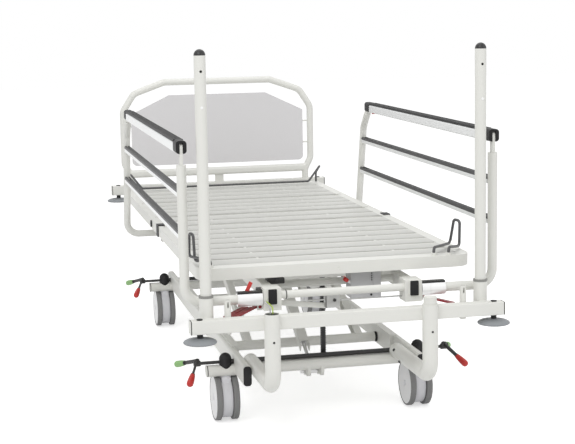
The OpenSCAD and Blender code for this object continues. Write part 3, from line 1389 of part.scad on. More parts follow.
base_frame();
base_plugs();
head_frame();
head_frame_fittings();
castor_hl();
castor_hr();
castor_fl();
castor_fr();
wheels_hl();
wheels_hr();
wheels_fl();
wheels_fr();
brake_bar_head();
brake_grips_head();
brake_bar_foot();
brake_grips_foot();
bumper_hl();
bumper_hr();
bumper_fl();
bumper_fr();
lift_arms_head();
lift_arms_foot();
ram_rod();
ram_tube();
upper_frame();
upper_plugs();
rail_blocks();
foot_beam();
foot_beam_fittings();
control_box();
toothed_strip();
release_lever_left();
release_lever_right();
earth_lead();
back_section();
seat_section();
thigh_section();
calf_section();
deck_hinge_covers();
retainers_head();
retainer_foot();
board_frame();
board_panel();
near_upright_left();
near_upright_right();
far_upright_left();
far_upright_right();
top_bar_left();
top_bar_right();
top_grip_left();
top_grip_right();
mid_bar_left();
mid_bar_right();
low_bar_left();
low_bar_right();
rail_button_left();
rail_button_right();
post_left();
post_right();
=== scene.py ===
# %% [markdown]
# # A hospital bed, dressed around its frame
# The construction of the bed comes in as finished parts: tubes, slats, hinges and castors at
# their true size. This lesson gives every part its finish, and models what a plain solid
# leaves out: wheels with their treads, tapered pedals, lens-shaped bumpers, wires and
# fasteners. Lengths are in metres, and a millimetre has a name of its own.

# %% Start: load the frame
import math

import bmesh
import bpy
from mathutils import Matrix, Vector


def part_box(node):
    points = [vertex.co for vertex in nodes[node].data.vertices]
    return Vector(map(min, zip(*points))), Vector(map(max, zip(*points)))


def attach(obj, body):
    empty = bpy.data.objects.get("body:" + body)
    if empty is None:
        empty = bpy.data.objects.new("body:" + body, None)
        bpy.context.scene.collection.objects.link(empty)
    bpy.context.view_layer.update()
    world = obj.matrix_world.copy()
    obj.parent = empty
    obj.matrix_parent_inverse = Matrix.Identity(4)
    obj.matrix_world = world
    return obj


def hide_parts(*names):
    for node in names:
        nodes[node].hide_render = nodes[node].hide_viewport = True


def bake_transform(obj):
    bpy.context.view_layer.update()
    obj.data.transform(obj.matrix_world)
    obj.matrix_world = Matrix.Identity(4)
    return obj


MM = 0.001
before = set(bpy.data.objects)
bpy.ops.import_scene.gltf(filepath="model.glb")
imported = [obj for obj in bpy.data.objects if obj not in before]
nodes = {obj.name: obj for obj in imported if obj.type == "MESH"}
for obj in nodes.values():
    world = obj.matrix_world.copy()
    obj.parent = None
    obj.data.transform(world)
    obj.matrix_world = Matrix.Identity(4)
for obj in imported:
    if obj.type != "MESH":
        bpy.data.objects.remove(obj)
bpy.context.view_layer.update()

# %% [markdown]
# ## Camera
# The photograph's view was worked out from the bed's straight edges: a long lens, a little
# above the lying surface, turned toward the right. A camera looks along its own -Z, so its
# three directions are built from the turn, the dip and the roll, and set as a matrix.

# %% Camera
CAMERA_PLACE = Vector((-1.0781, -5.1820, 1.3097))
CAMERA_TURN = math.radians(12.41)
CAMERA_DIP = math.radians(8.48)
CAMERA_ROLL = math.radians(-1.04)
CAMERA_LENS = 89.45
CAMERA_SENSOR = 36.0


def add_camera():
    """The camera of the photograph."""
    ahead = Vector((math.sin(CAMERA_TURN) * math.cos(CAMERA_DIP),
                    math.cos(CAMERA_TURN) * math.cos(CAMERA_DIP), -math.sin(CAMERA_DIP)))
    right = ahead.cross(Vector((0, 0, 1))).normalized()
    up = right.cross(ahead)
    c, s = math.cos(CAMERA_ROLL), math.sin(CAMERA_ROLL)
    right, up = c * right + s * up, c * up - s * right
    data = bpy.data.cameras.new("camera")
    data.lens = CAMERA_LENS
    data.sensor_width = CAMERA_SENSOR
    data.clip_end = 60
    camera = bpy.data.objects.new("camera", data)
    turn = Matrix((right, up, -ahead)).transposed()
    camera.matrix_world = Matrix.Translation(CAMERA_PLACE) @ turn.to_4x4()
    bpy.context.scene.collection.objects.link(camera)
    bpy.context.scene.camera = camera


add_camera()
print("camera at", [round(v, 3) for v in CAMERA_PLACE])

# %% [markdown]
# ## Finishes
# Almost the whole bed wears one powder coat, so its small variations matter: a fine orange
# peel in the gloss and a slow drift of the white. Each finish is a node material. One helper
# starts a material and returns its shader, others add noise to colour, roughness and bump.

# %% Material helpers
def new_material(name, color, roughness=0.5, metallic=0.0, specular=0.5):
    """A node material with one Principled shader. Returns the material and the shader."""
    material = bpy.data.materials.new(name)
    material.use_nodes = True
    material.diffuse_color = (*color, 1)
    shader = material.node_tree.nodes["Principled BSDF"]
    shader.inputs["Base Color"].default_value = (*color, 1)
    shader.inputs["Roughness"].default_value = roughness
    shader.inputs["Metallic"].default_value = metallic
    shader.inputs["Specular IOR Level"].default_value = specular
    return material, shader


def join(material, source, target):
    """Links one socket to another."""
    material.node_tree.links.new(source, target)


def object_place(material, scale=(1, 1, 1), turn=(0, 0, 0), move=(0, 0, 0)):
    """The piece's own coordinates, moved, turned and scaled, as a socket."""
    place = material.node_tree.nodes.new("ShaderNodeTexCoord")
    mapping = material.node_tree.nodes.new("ShaderNodeMapping")
    mapping.inputs["Location"].default_value = move
    mapping.inputs["Rotation"].default_value = turn
    mapping.inputs["Scale"].default_value = scale
    join(material, place.outputs["Object"], mapping.inputs["Vector"])
    return mapping.outputs["Vector"]


def noise(material, scale, detail=3.0, stretch=(1, 1, 1)):
    """Noise over the piece, as a socket from 0 to 1."""
    texture = material.node_tree.nodes.new("ShaderNodeTexNoise")
    texture.inputs["Scale"].default_value = scale
    texture.inputs["Detail"].default_value = detail
    join(material, object_place(material, stretch), texture.inputs["Vector"])
    return texture.outputs["Fac"]


def spread(material, socket, low, high, start=0.3, end=0.7):
    """The socket's values from start to end, spread from low to high."""
    node = material.node_tree.nodes.new("ShaderNodeMapRange")
    for name, value in (("From Min", start), ("From Max", end), ("To Min", low), ("To Max", high)):
        node.inputs[name].default_value = value
    join(material, socket, node.inputs["Value"])
    return node.outputs["Result"]


def calculate(material, operation, first, second):
    """One step of arithmetic. Each side is a socket or a number."""
    node = material.node_tree.nodes.new("ShaderNodeMath")
    node.operation = operation
    for socket, value in zip(node.inputs, (first, second)):
        if isinstance(value, (int, float)):
            socket.default_value = value
        else:
            join(material, value, socket)
    return node.outputs[0]


def mix_colors(material, factor, first, second):
    """A blend of two colours or sockets, by a factor socket."""
    node = material.node_tree.nodes.new("ShaderNodeMix")
    node.data_type = "RGBA"
    join(material, factor, node.inputs["Factor"])
    for socket, value in ((node.inputs[6], first), (node.inputs[7], second)):
        if isinstance(value, tuple):
            socket.default_value = (*value, 1)
        else:
            join(material, value, socket)
    return node.outputs[2]


def bump(material, shader, socket, height):
    """A bump of that height, in metres, from a socket."""
    node = material.node_tree.nodes.new("ShaderNodeBump")
    node.inputs["Strength"].default_value = 0.15
    node.inputs["Distance"].default_value = height
    join(material, socket, node.inputs["Height"])
    join(material, node.outputs["Normal"], shader.inputs["Normal"])


def lighter(color, factor):
    """A colour made lighter or darker."""
    return tuple(min(1.0, channel * factor) for channel in color)


def finish_of(name, color, roughness, metallic=0.0, grain=900, height=0.05 * MM, drift=0.03,
              specular=0.5, stretch=(1, 1, 1)):
    """A finish with a slow drift of colour, uneven gloss and a fine grain."""
    material, shader = new_material(name, color, roughness, metallic, specular)
    slow = noise(material, 5, 4)
    fine = noise(material, grain, 2, stretch)
    join(material, mix_colors(material, slow, lighter(color, 1 - drift), lighter(color, 1 + drift)),
         shader.inputs["Base Color"])
    join(material, spread(material, fine, roughness * 0.85, min(1, roughness * 1.15)),
         shader.inputs["Roughness"])
    bump(material, shader, fine, height)
    return material


# %% [markdown]
# Some parts wear two colours, such as a post with its black cap. Their pattern goes by place:
# a mask is 1 inside a box, measured on the part's own coordinates, and mixes the colours.

# %% Masks by place
def inside_box(material, low, high, **placing):
    """A socket that is 1 inside the box and 0 outside it. None leaves a side open."""
    axes = material.node_tree.nodes.new("ShaderNodeSeparateXYZ")
    join(material, object_place(material, **placing), axes.inputs["Vector"])
    result = None
    for axis, least, most in zip("XYZ", low, high):
        for bound, operation in ((least, "GREATER_THAN"), (most, "LESS_THAN")):
            if bound is None:
                continue
            test = calculate(material, operation, axes.outputs[axis], bound)
            result = test if result is None else calculate(material, "MULTIPLY", result, test)
    return result


def paint(material, mask, color):
    """Paints what the mask covers in another colour."""
    shader = material.node_tree.nodes["Principled BSDF"]
    old = shader.inputs["Base Color"].links[0].from_socket
    join(material, mix_colors(material, mask, old, color), shader.inputs["Base Color"])


def set_metallic(material, mask, inside, outside):
    """Makes what the mask covers more or less metallic."""
    shader = material.node_tree.nodes["Principled BSDF"]
    join(material, spread(material, mask, outside, inside, 0, 1), shader.inputs["Metallic"])


# %% Colours and materials
CREAM = (0.775, 0.775, 0.735)
BLACK = (0.018, 0.018, 0.019)
ALUMINIUM = (0.86, 0.87, 0.87)
CASTOR_WHITE = (0.74, 0.74, 0.77)
DISC_WHITE = (0.86, 0.86, 0.87)
TREAD_GREY = (0.235, 0.235, 0.235)
LENS_GREY = (0.27, 0.285, 0.30)
COLLAR_GREY = (0.28, 0.28, 0.265)
PEDAL_RED = (0.52, 0.028, 0.022)
PEDAL_GREEN = (0.26, 0.48, 0.18)
LEVER_RED = (0.26, 0.010, 0.016)
DARK_STEEL = (0.055, 0.055, 0.055)
ZINC = (0.52, 0.52, 0.51)
PANEL_GREY = (0.71, 0.70, 0.71)
BOX_GREY = (0.50, 0.50, 0.51)
WIRE_GREY = (0.10, 0.10, 0.102)
EARTH_YELLOW = (0.46, 0.62, 0.06)
BUTTON_WHITE = (0.95, 0.95, 0.95)
SLEEVE_WHITE = (0.93, 0.93, 0.93)
DOT_GREY = (0.34, 0.34, 0.34)
STEEL = (0.62, 0.62, 0.62)

coat = finish_of("powder_coat", CREAM, 0.42, grain=1400, height=0.03 * MM, drift=0.012)
black = finish_of("black_plastic", BLACK, 0.48, grain=2200, height=0.04 * MM, drift=0.2,
                  specular=0.2)
alu = finish_of("anodised_aluminium", ALUMINIUM, 0.42, metallic=0.55, grain=700, height=0.01 * MM,
                stretch=(1, 0.02, 1))
housing = finish_of("castor_housing", CASTOR_WHITE, 0.42, grain=1800, height=0.03 * MM)
disc_white = finish_of("wheel_disc", DISC_WHITE, 0.4, grain=1800, height=0.03 * MM, drift=0.01)
tread = finish_of("grey_rubber", TREAD_GREY, 0.75, grain=1500, height=0.08 * MM, drift=0.08)
lens = finish_of("bumper_grey", LENS_GREY, 0.5, grain=1200, height=0.03 * MM)
red = finish_of("pedal_red", PEDAL_RED, 0.45, grain=1600, height=0.04 * MM, drift=0.06)
green = finish_of("pedal_green", PEDAL_GREEN, 0.5, grain=1600, height=0.04 * MM, drift=0.06)
lever_red = finish_of("lever_red", LEVER_RED, 0.42, grain=1400, height=0.03 * MM, drift=0.05)
dark_steel = finish_of("dark_steel", DARK_STEEL, 0.42, metallic=0.3, grain=1300, height=0.03 * MM,
                       drift=0.1, specular=0.3)
zinc = finish_of("zinc_plate", ZINC, 0.4, metallic=0.6, grain=900, height=0.02 * MM, drift=0.06)
steel = finish_of("drawn_steel", STEEL, 0.32, metallic=0.8, grain=900, height=0.01 * MM)
wire = finish_of("retainer_wire", WIRE_GREY, 0.42, metallic=0.4, grain=900, height=0.01 * MM,
                 drift=0.08)
panel = finish_of("panel_grey", PANEL_GREY, 0.5, grain=1700, height=0.03 * MM, drift=0.01)
box_grey = finish_of("box_grey", BOX_GREY, 0.5, grain=1700, height=0.03 * MM, drift=0.02)
yellow = finish_of("earth_yellow", EARTH_YELLOW, 0.5, grain=1500, height=0.02 * MM)
print("materials:", len(bpy.data.materials))


# %% [markdown]
# ## Which part wears what
# The frame's parts keep their shape and only change their finish, in their material slots.
# Two-coloured parts get a finish of their own with painted places.

# %% Plain parts
def wear(material, *names):
    """Gives parts one material."""
    for name in names:
        for material_slot in nodes[name].material_slots:
            material_slot.link = "OBJECT"
            material_slot.material = material


wear(coat, "base_frame", "head_frame", "lift_arms_head", "lift_arms_foot", "upper_frame", "foot_beam",
     "board_frame",
     "near_upright_left", "near_upright_right", "far_upright_left", "far_upright_right")
wear(black, "upper_plugs", "deck_hinge_covers", "top_grip_left", "top_grip_right")
wear(lever_red, "release_lever_left", "release_lever_right")
wear(steel, "ram_rod")
wear(wire, "retainers_head", "retainer_foot")
wear(panel, "board_panel")
wear(red, "rail_button_left", "rail_button_right")
wear(alu, "top_bar_left", "top_bar_right")

# %% [markdown]
# Each slat of the lying surface carries painted shade, a little greyer toward the head end, and
# a painted highlight, brighter along the rim of its other edge. The bands go by the slats' own
# pitch in each section.

# %% Slats
SLAT_HALF = 399 * MM
SLAT_UNDER = 536 * MM
PAINTED_SHADE, PAINTED_SHADE_END = 0.7, 0.55
PAINTED_HIGHLIGHT, PAINTED_HIGHLIGHT_START = 1.14, 0.84
SLAT_RUNS = {"back": (-0.944, -0.119, 8), "seat": (-0.091, 0.126, 2),
             "thigh": (0.154, 0.536, 4), "calf": (0.564, 1.015, 4)}
for section, (start, end, count) in SLAT_RUNS.items():
    slats = finish_of("slats_" + section, CREAM, 0.42, grain=1400, height=0.03 * MM, drift=0.012)
    axes = slats.node_tree.nodes.new("ShaderNodeSeparateXYZ")
    join(slats, object_place(slats), axes.inputs["Vector"])
    pitch = (end - start) / count
    way = calculate(slats, "MODULO", calculate(slats, "SUBTRACT", axes.outputs["Y"], start), pitch)
    surface = inside_box(slats, (-SLAT_HALF, start, SLAT_UNDER), (SLAT_HALF, end, None))
    # Painted shade: greyer toward each slat's head-end edge.
    grey = spread(slats, way, 1, PAINTED_SHADE_END, 0.1 * pitch, 0.8 * pitch)
    paint(slats, calculate(slats, "MULTIPLY", surface, grey), lighter(CREAM, PAINTED_SHADE))
    # Painted highlight: brighter along each slat's other edge.
    rim = calculate(slats, "GREATER_THAN", way, PAINTED_HIGHLIGHT_START * pitch)
    paint(slats, calculate(slats, "MULTIPLY", surface, rim), lighter(CREAM, PAINTED_HIGHLIGHT))
    wear(slats, section + "_section")

# %% [markdown]
# The posts carry black caps and a white button. The beams end in a thin black band with a pale
# cap outside it, and the cross beams do as well. The head frame's fittings are black but for
# the grey collars and the pale insert in the right upright.

# %% Posts, beam ends and fittings
CAP_HEIGHT = 18 * MM
POST_RADIUS = 17.25 * MM
BEAM_HALF = 481 * MM
CROSS_HALF = 380 * MM
END_BAND = 2.8 * MM
BUTTON_PROUD = 1.5 * MM
BUTTON_LOW, BUTTON_HIGH = 0.5, 1.1
COLLAR_X, COLLAR_Y, COLLAR_Z = (0.39, 0.46), (-1.12, -1.05), (0.4705, 0.479)
INSERT_LOW, INSERT_HIGH = (0.215, -1.18, 0.39), (0.272, -1.13, 0.46)
post_low, post_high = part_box("post_right")
post_front = (post_low.y + BUTTON_PROUD + post_high.y) / 2 - POST_RADIUS
post_coat = finish_of("post_coat", CREAM, 0.42, grain=1400, height=0.03 * MM, drift=0.012)
paint(post_coat, inside_box(post_coat, (None, None, post_high.z - CAP_HEIGHT), (None, None, None)),
      BLACK)
paint(post_coat, inside_box(post_coat, (None, None, BUTTON_LOW), (None, post_front, BUTTON_HIGH)),
      BUTTON_WHITE)
wear(post_coat, "post_left", "post_right")


def black_band_and_cap(name, half):
    """A black finish whose ends are pale outside a thin black band."""
    material = finish_of(name, BLACK, 0.48, grain=2200, height=0.04 * MM, drift=0.05, specular=0.25)
    # Pale cap beyond a thin black band next to each end of the beam.
    paint(material, inside_box(material, (half + END_BAND, None, None), (None, None, None)), CREAM)
    paint(material, inside_box(material, (None, None, None), (-half - END_BAND, None, None)), CREAM)
    return material


fittings = black_band_and_cap("head_fittings", BEAM_HALF)
for side in (-1, 1):
    x_low, x_high = sorted(side * x for x in COLLAR_X)
    paint(fittings, inside_box(fittings, (x_low, COLLAR_Y[0], COLLAR_Z[0]),
                               (x_high, COLLAR_Y[1], COLLAR_Z[1])), COLLAR_GREY)
paint(fittings, inside_box(fittings, INSERT_LOW, INSERT_HIGH), CREAM)
wear(fittings, "head_frame_fittings")
wear(black_band_and_cap("foot_fittings", BEAM_HALF), "foot_beam_fittings")
wear(black_band_and_cap("chassis_plugs", CROSS_HALF), "base_plugs")

# %% [markdown]
# Each rail bar is pale aluminium under a black strip that covers its upper part. A rail block
# is a bright sleeve with a black insert, and its inner end is coated like the frame.

# %% Rail bars and blocks
SLEEVE_TOP = 472 * MM
INSERT_DEPTH = 5 * MM
SLEEVE_INNER = 250 * MM
BAR_HALF = 11 * MM
STRIP_DEPTH = 8.5 * MM
for level in ("mid", "low"):
    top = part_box(level + "_bar_right")[0].z + 2 * BAR_HALF
    bar_finish = finish_of(level + "_bar", ALUMINIUM, 0.42, metallic=0.5, grain=700, height=0.01 * MM,
                           stretch=(1, 0.02, 1))
    strip = inside_box(bar_finish, (None, None, top - STRIP_DEPTH), (None, None, None))
    paint(bar_finish, strip, BLACK)
    set_metallic(bar_finish, strip, 0, 0.5)
    wear(bar_finish, level + "_bar_left", level + "_bar_right")
block_finish = finish_of("rail_block", SLEEVE_WHITE, 0.35, metallic=0.3, grain=700,
                         height=0.01 * MM)
insert = inside_box(block_finish, (None, None, SLEEVE_TOP - INSERT_DEPTH), (None, None, None))
paint(block_finish, insert, BLACK)
paint(block_finish, inside_box(block_finish, (-SLEEVE_INNER, None, None), (SLEEVE_INNER, None, None)),
      CREAM)
wear(block_finish, "rail_blocks")

# %% [markdown]
# The toothed strip is black with rows of small pale dots along both edges. The dots are a wave
# along its height, cut to two narrow bands. The ram's tube is white outside and shows its
# silver cylinder between the cheeks, found by a mask that leans with the ram.

# %% Toothed strip and ram
TOOTH = 8 * MM
STRIP_LEFT, STRIP_RIGHT = 2 * MM, 18 * MM
RAM_FOOT = Vector((-27, -740, 138)) * MM
RAM_RUN = Vector((0, 549, 290)) * MM
CORE_RADIUS = 9.8 * MM
CORE_END = 560 * MM
DOT_OUT, DOT_IN, DOT_LEVEL = 2 * MM, 2.6 * MM, 0.55


def toothed_finish():
    """Black, with pale dots along both edges."""
    material = finish_of("toothed_strip", BLACK, 0.5, grain=2000, height=0.04 * MM, drift=0.1)
    axes = material.node_tree.nodes.new("ShaderNodeSeparateXYZ")
    join(material, object_place(material), axes.inputs["Vector"])
    turns = calculate(material, "MULTIPLY", axes.outputs["Z"], 2 * math.pi / TOOTH)
    wave = calculate(material, "GREATER_THAN", calculate(material, "SINE", turns, 0.0), DOT_LEVEL)
    for low, high in ((STRIP_LEFT - DOT_OUT, STRIP_LEFT + DOT_IN),
                      (STRIP_RIGHT - DOT_IN, STRIP_RIGHT + DOT_OUT)):
        band = inside_box(material, (low, None, None), (high, None, None))
        paint(material, calculate(material, "MULTIPLY", wave, band), DOT_GREY)
    return material


def ram_finish():
    """White, with a silver cylinder along the middle."""
    material = finish_of("ram_cover", CREAM, 0.42, grain=1400, height=0.03 * MM, drift=0.012)
    lean = math.atan2(RAM_RUN.z, RAM_RUN.y)
    turn = Matrix.Rotation(-lean, 3, "X")
    move = -(turn @ RAM_FOOT)
    mask = inside_box(material, (-CORE_RADIUS, None, -CORE_RADIUS), (CORE_RADIUS, CORE_END, CORE_RADIUS),
                      turn=(-lean, 0, 0), move=move)
    paint(material, mask, STEEL)
    set_metallic(material, mask, 0.8, 0)
    return material


wear(toothed_finish(), "toothed_strip")
wear(ram_finish(), "ram_tube")


# %% [markdown]
# ## A small workshop
# Turned parts come from a profile that is spun round an axis. Blocks start as a cube with
# bevelled edges. Rods are cones of equal ends. Each helper makes its shape in a bmesh of its
# own and adds it to the piece, and `finish_piece` turns the whole into an object that rides on
# one body of the bed.

# %% Workshop
def at(x, y, z):
    """A place given in millimetres."""
    return x * MM, y * MM, z * MM


def place_along(start, direction):
    """A matrix that puts +Z along a direction, at a start point."""
    turn = Vector((0, 0, 1)).rotation_difference(Vector(direction).normalized())
    return Matrix.Translation(Vector(start)) @ turn.to_matrix().to_4x4()


def add_shape(bm, shape, matrix, index=0):
    """Puts a shape in place, closes its seams and adds it to the piece with one material."""
    bmesh.ops.transform(shape, matrix=matrix, verts=shape.verts)
    bmesh.ops.remove_doubles(shape, verts=shape.verts, dist=0.001 * MM)
    bmesh.ops.recalc_face_normals(shape, faces=shape.faces)
    for face in shape.faces:
        face.material_index = index
    mesh = bpy.data.meshes.new("shape")
    shape.to_mesh(mesh)
    shape.free()
    bm.from_mesh(mesh)
    bpy.data.meshes.remove(mesh)


def add_turned(bm, profile, start, direction, steps=48, index=0):
    """Spins a profile of (radius, height) points round a direction."""
    shape = bmesh.new()
    made = [shape.verts.new((radius, 0, height)) for radius, height in profile]
    edges = [shape.edges.new(pair) for pair in zip(made, made[1:])]
    bmesh.ops.spin(shape, geom=made + edges, cent=(0, 0, 0), axis=(0, 0, 1), dvec=(0, 0, 0),
                   angle=2 * math.pi, steps=steps, use_merge=True, use_duplicate=False)
    add_shape(bm, shape, place_along(start, direction), index)


def add_block(bm, low, high, bevel=1 * MM, segments=2, index=0, matrix=Matrix.Identity(4)):
    """A box with rounded edges between two corners."""
    shape = bmesh.new()
    low, high = Vector(low), Vector(high)
    sizing = Matrix.Translation((low + high) / 2) @ Matrix.Diagonal((*(high - low), 1))
    bmesh.ops.create_cube(shape, size=1, matrix=sizing)
    if bevel:
        bmesh.ops.bevel(shape, geom=shape.edges[:], offset=bevel, segments=segments, profile=0.5,
                        affect="EDGES", material=-1)
    add_shape(bm, shape, matrix, index)


def add_rod(bm, start, end, radius, end_radius=None, segments=32, bevel=0.0, index=0):
    """A rod or cone between two points, with closed ends and rounded rims."""
    shape = bmesh.new()
    start, end = Vector(start), Vector(end)
    length = (end - start).length
    bmesh.ops.create_cone(shape, cap_ends=True, segments=segments, radius1=radius,
                          radius2=radius if end_radius is None else end_radius, depth=length,
                          matrix=Matrix.Translation((0, 0, length / 2)))
    if bevel:
        rims = [e for e in shape.edges if any(len(f.verts) > 4 for f in e.link_faces)]
        bmesh.ops.bevel(shape, geom=rims, offset=bevel, segments=3, profile=0.5, affect="EDGES",
                        material=-1)
    add_shape(bm, shape, place_along(start, end - start), index)


def add_flat_bar(bm, start, end, width, thickness, facing, bevel=1 * MM, index=0):
    """A flat bar between two points, with its flat side toward a direction."""
    start, end = Vector(start), Vector(end)
    along = (end - start).normalized()
    out = (Vector(facing) - along * along.dot(Vector(facing))).normalized()
    across = out.cross(along)
    matrix = Matrix((across, out, along)).transposed().to_4x4()
    matrix = Matrix.Translation(start) @ matrix
    low = (-width / 2, -thickness / 2, 0)
    high = (width / 2, thickness / 2, (end - start).length)
    add_block(bm, low, high, bevel, 2, index, matrix)


def finish_piece(bm, name, body, materials, replaces=(), sharp=35):
    """Makes an object of the bmesh, smooth but for its sharp edges, and lets it ride."""
    for face in bm.faces:
        face.smooth = True
    for edge in bm.edges:
        edge.smooth = len(edge.link_faces) == 2 and edge.calc_face_angle(0) < math.radians(sharp)
    mesh = bpy.data.meshes.new(name)
    bm.to_mesh(mesh)
    bm.free()
    for material in materials:
        mesh.materials.append(material)
    piece = bpy.data.objects.new(name, mesh)
    bpy.context.scene.collection.objects.link(piece)
    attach(piece, body)
    if replaces:
        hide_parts(*replaces)
    return piece


# %% [markdown]
# ## Castors
# Two wheels stand on either side of a pale housing. Each wheel is a grey tread round a white
# side disc. The tread's profile runs across its width with rounded shoulders, and the disc's
# profile goes from the hub out over a shallow dome to a fine lip beside the tread.

# %% Wheels
AXLE_Z = 75 * MM
WHEEL_WIDTH = 20 * MM
DISC_EDGE = 70.5 * MM
TREAD_BORE = 62 * MM
CORNERS = ("hl", "hr", "fl", "fr")


def tread_profile(radius):
    """A tread's section, as (radius, distance along the axle) points, closed."""
    half = WHEEL_WIDTH / 2
    return [(DISC_EDGE, half - 1.2 * MM), (radius - 2.2 * MM, half - 0.6 * MM),
            (radius - 0.7 * MM, half - 1.6 * MM), (radius, half - 3.4 * MM), (radius, 2.5 * MM - half),
            (radius - 0.7 * MM, 0.9 * MM - half), (radius - 2.4 * MM, 0.2 * MM - half),
            (TREAD_BORE, 0.2 * MM - half), (TREAD_BORE, half - 4 * MM), (DISC_EDGE, half - 1.2 * MM)]


def disc_profile():
    """A side disc's section: hub, shallow dome, lip, and its flat inner side."""
    half = WHEEL_WIDTH / 2
    edge = DISC_EDGE - 0.2 * MM
    return [(0, half - 2 * MM), (12 * MM, half - 2 * MM), (13.5 * MM, half - 0.6 * MM),
            (16 * MM, half - 0.2 * MM), (38 * MM, half), (60 * MM, half - 0.5 * MM),
            (67 * MM, half - 1.1 * MM), (69.6 * MM, half - 1.9 * MM), (edge, half - 3 * MM),
            (edge, half - 5 * MM), (60 * MM, half - 6 * MM), (30 * MM, 1 * MM - half), (0, 1 * MM - half)]


def make_wheels(corner):
    """The treads and side discs of two wheels that roll together."""
    low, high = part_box("wheels_" + corner)
    middle = (low + high) / 2
    treads, discs = bmesh.new(), bmesh.new()
    for side in (-1, 1):
        place = (middle.x + side * ((high.x - low.x) / 2 - WHEEL_WIDTH / 2), middle.y, AXLE_Z)
        add_turned(treads, tread_profile(AXLE_Z), place, (side, 0, 0), steps=72)
        add_turned(discs, disc_profile(), place, (side, 0, 0), steps=72)
    name = "wheels_" + corner
    return (finish_piece(treads, "treads_" + corner, name, [tread], [name], 28),
            finish_piece(discs, "side_discs_" + corner, name, [disc_white], [name], 28))


wheel_pieces = [make_wheels(corner) for corner in CORNERS]
print("wheels:", 2 * len(wheel_pieces))

# %% [markdown]
# The housing between the wheels is a round band with a neck under the cross beam. A saddle that
# narrows downward lies on the front of the band: it is spun through a part of a turn, and then
# its points are drawn together toward its lower end.

# %% Castor housings
HOUSING_HALF = 17 * MM
HOUSING_REACH = 68 * MM
SADDLE_TURN = math.radians(62)
SADDLE_HALF = 11 * MM
SADDLE_TAPER = 0.75
STEM_BACK = 23 * MM
STEM_RADIUS = 13 * MM
CROSS_BOTTOM = 150 * MM


def add_saddle(bm, middle):
    """The narrowing saddle on the band's front."""
    shape = bmesh.new()
    inner, outer = HOUSING_REACH - 3 * MM, HOUSING_REACH - 0.6 * MM
    section = [(-SADDLE_HALF, inner), (-SADDLE_HALF, outer), (SADDLE_HALF, outer), (SADDLE_HALF, inner)]
    made = [shape.verts.new((x, 0, z)) for x, z in section]
    face = shape.faces.new(made)
    bmesh.ops.spin(shape, geom=[face] + face.edges[:] + made, cent=(0, 0, 0), axis=(1, 0, 0),
                   dvec=(0, 0, 0), angle=SADDLE_TURN, steps=16, use_merge=False, use_duplicate=False)
    for vert in shape.verts:
        turn = abs(math.atan2(vert.co.y, vert.co.z)) / SADDLE_TURN
        vert.co.x *= 1 - SADDLE_TAPER * turn
    add_shape(bm, shape, Matrix.Translation((middle.x, middle.y, AXLE_Z)))


def make_housing(corner):
    """The band, its neck, saddle and stem, with an axle cap on each wheel."""
    stem_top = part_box("castor_" + corner)[1].z
    wheel_low, wheel_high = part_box("wheels_" + corner)
    middle = (wheel_low + wheel_high) / 2
    stem_y = middle.y - STEM_BACK
    bm = bmesh.new()
    add_rod(bm, (middle.x - HOUSING_HALF, middle.y, AXLE_Z),
            (middle.x + HOUSING_HALF, middle.y, AXLE_Z), HOUSING_REACH - 1 * MM, segments=72,
            bevel=2.5 * MM)
    add_block(bm, (middle.x - HOUSING_HALF + 1.5 * MM, stem_y - HOUSING_HALF, AXLE_Z + 20 * MM),
              (middle.x + HOUSING_HALF - 1.5 * MM, middle.y + 12 * MM, CROSS_BOTTOM - 3.5 * MM), 4 * MM, 4)
    add_rod(bm, (middle.x, stem_y, CROSS_BOTTOM - 6 * MM), (middle.x, stem_y, CROSS_BOTTOM - 0.3 * MM),
            HOUSING_HALF - 0.5 * MM, segments=48, bevel=1 * MM)
    add_rod(bm, (middle.x, stem_y, CROSS_BOTTOM - 1 * MM), (middle.x, stem_y, stem_top), STEM_RADIUS)
    add_saddle(bm, middle)
    for side in (-1, 1):
        outer = middle.x + side * (wheel_high.x - wheel_low.x) / 2
        add_rod(bm, (outer - side * 6 * MM, middle.y, AXLE_Z), (outer, middle.y, AXLE_Z), 8.5 * MM,
                bevel=0.8 * MM)
    return finish_piece(bm, "housing_" + corner, "castor_" + corner, [housing],
                        ["castor_" + corner])


housings = [make_housing(corner) for corner in CORNERS]
print("housings:", len(housings))

# %% [markdown]
# ## Brakes
# A dark hexagon bar joins both domes of an end and goes on thinner outside them. On each end
# sits a V of two flat arms that meet in a knuckle, one with a red tip to lock and one with a
# green tip to steer. The tips swell toward the foot and end round, so each is turned from its
# own profile.

# %% Brake bars and pedals
RED_ARM = Vector((42, -108, -50)) * MM
GREEN_ARM = Vector((53, 110, -34)) * MM
ARM_RISE = 9 * MM
TIP_LENGTH = 52 * MM
BAR_Z = 195.5 * MM
BAR_END = 424 * MM
HUB_X = 413 * MM
BAR_FLATS = 14 * MM
BAR_OUTER = 9.5 * MM
BAR_Y = {"head": -778 * MM, "foot": 679 * MM}
DOME_X = 321.5 * MM
BEARING_HALF = 19 * MM
ARM_WIDTH, ARM_THICK = 12.5 * MM, 6.5 * MM


def tip_profile(length):
    """A pedal tip: thin at the arm, full toward the end, round at last."""
    return [(0, 0), (7.2 * MM, 0), (8.2 * MM, 1.4 * MM), (9.2 * MM, length * 0.2),
            (10.5 * MM, length * 0.5), (10.9 * MM, length * 0.76), (10.5 * MM, length * 0.87),
            (8.6 * MM, length * 0.945), (5.4 * MM, length * 0.985), (0, length)]


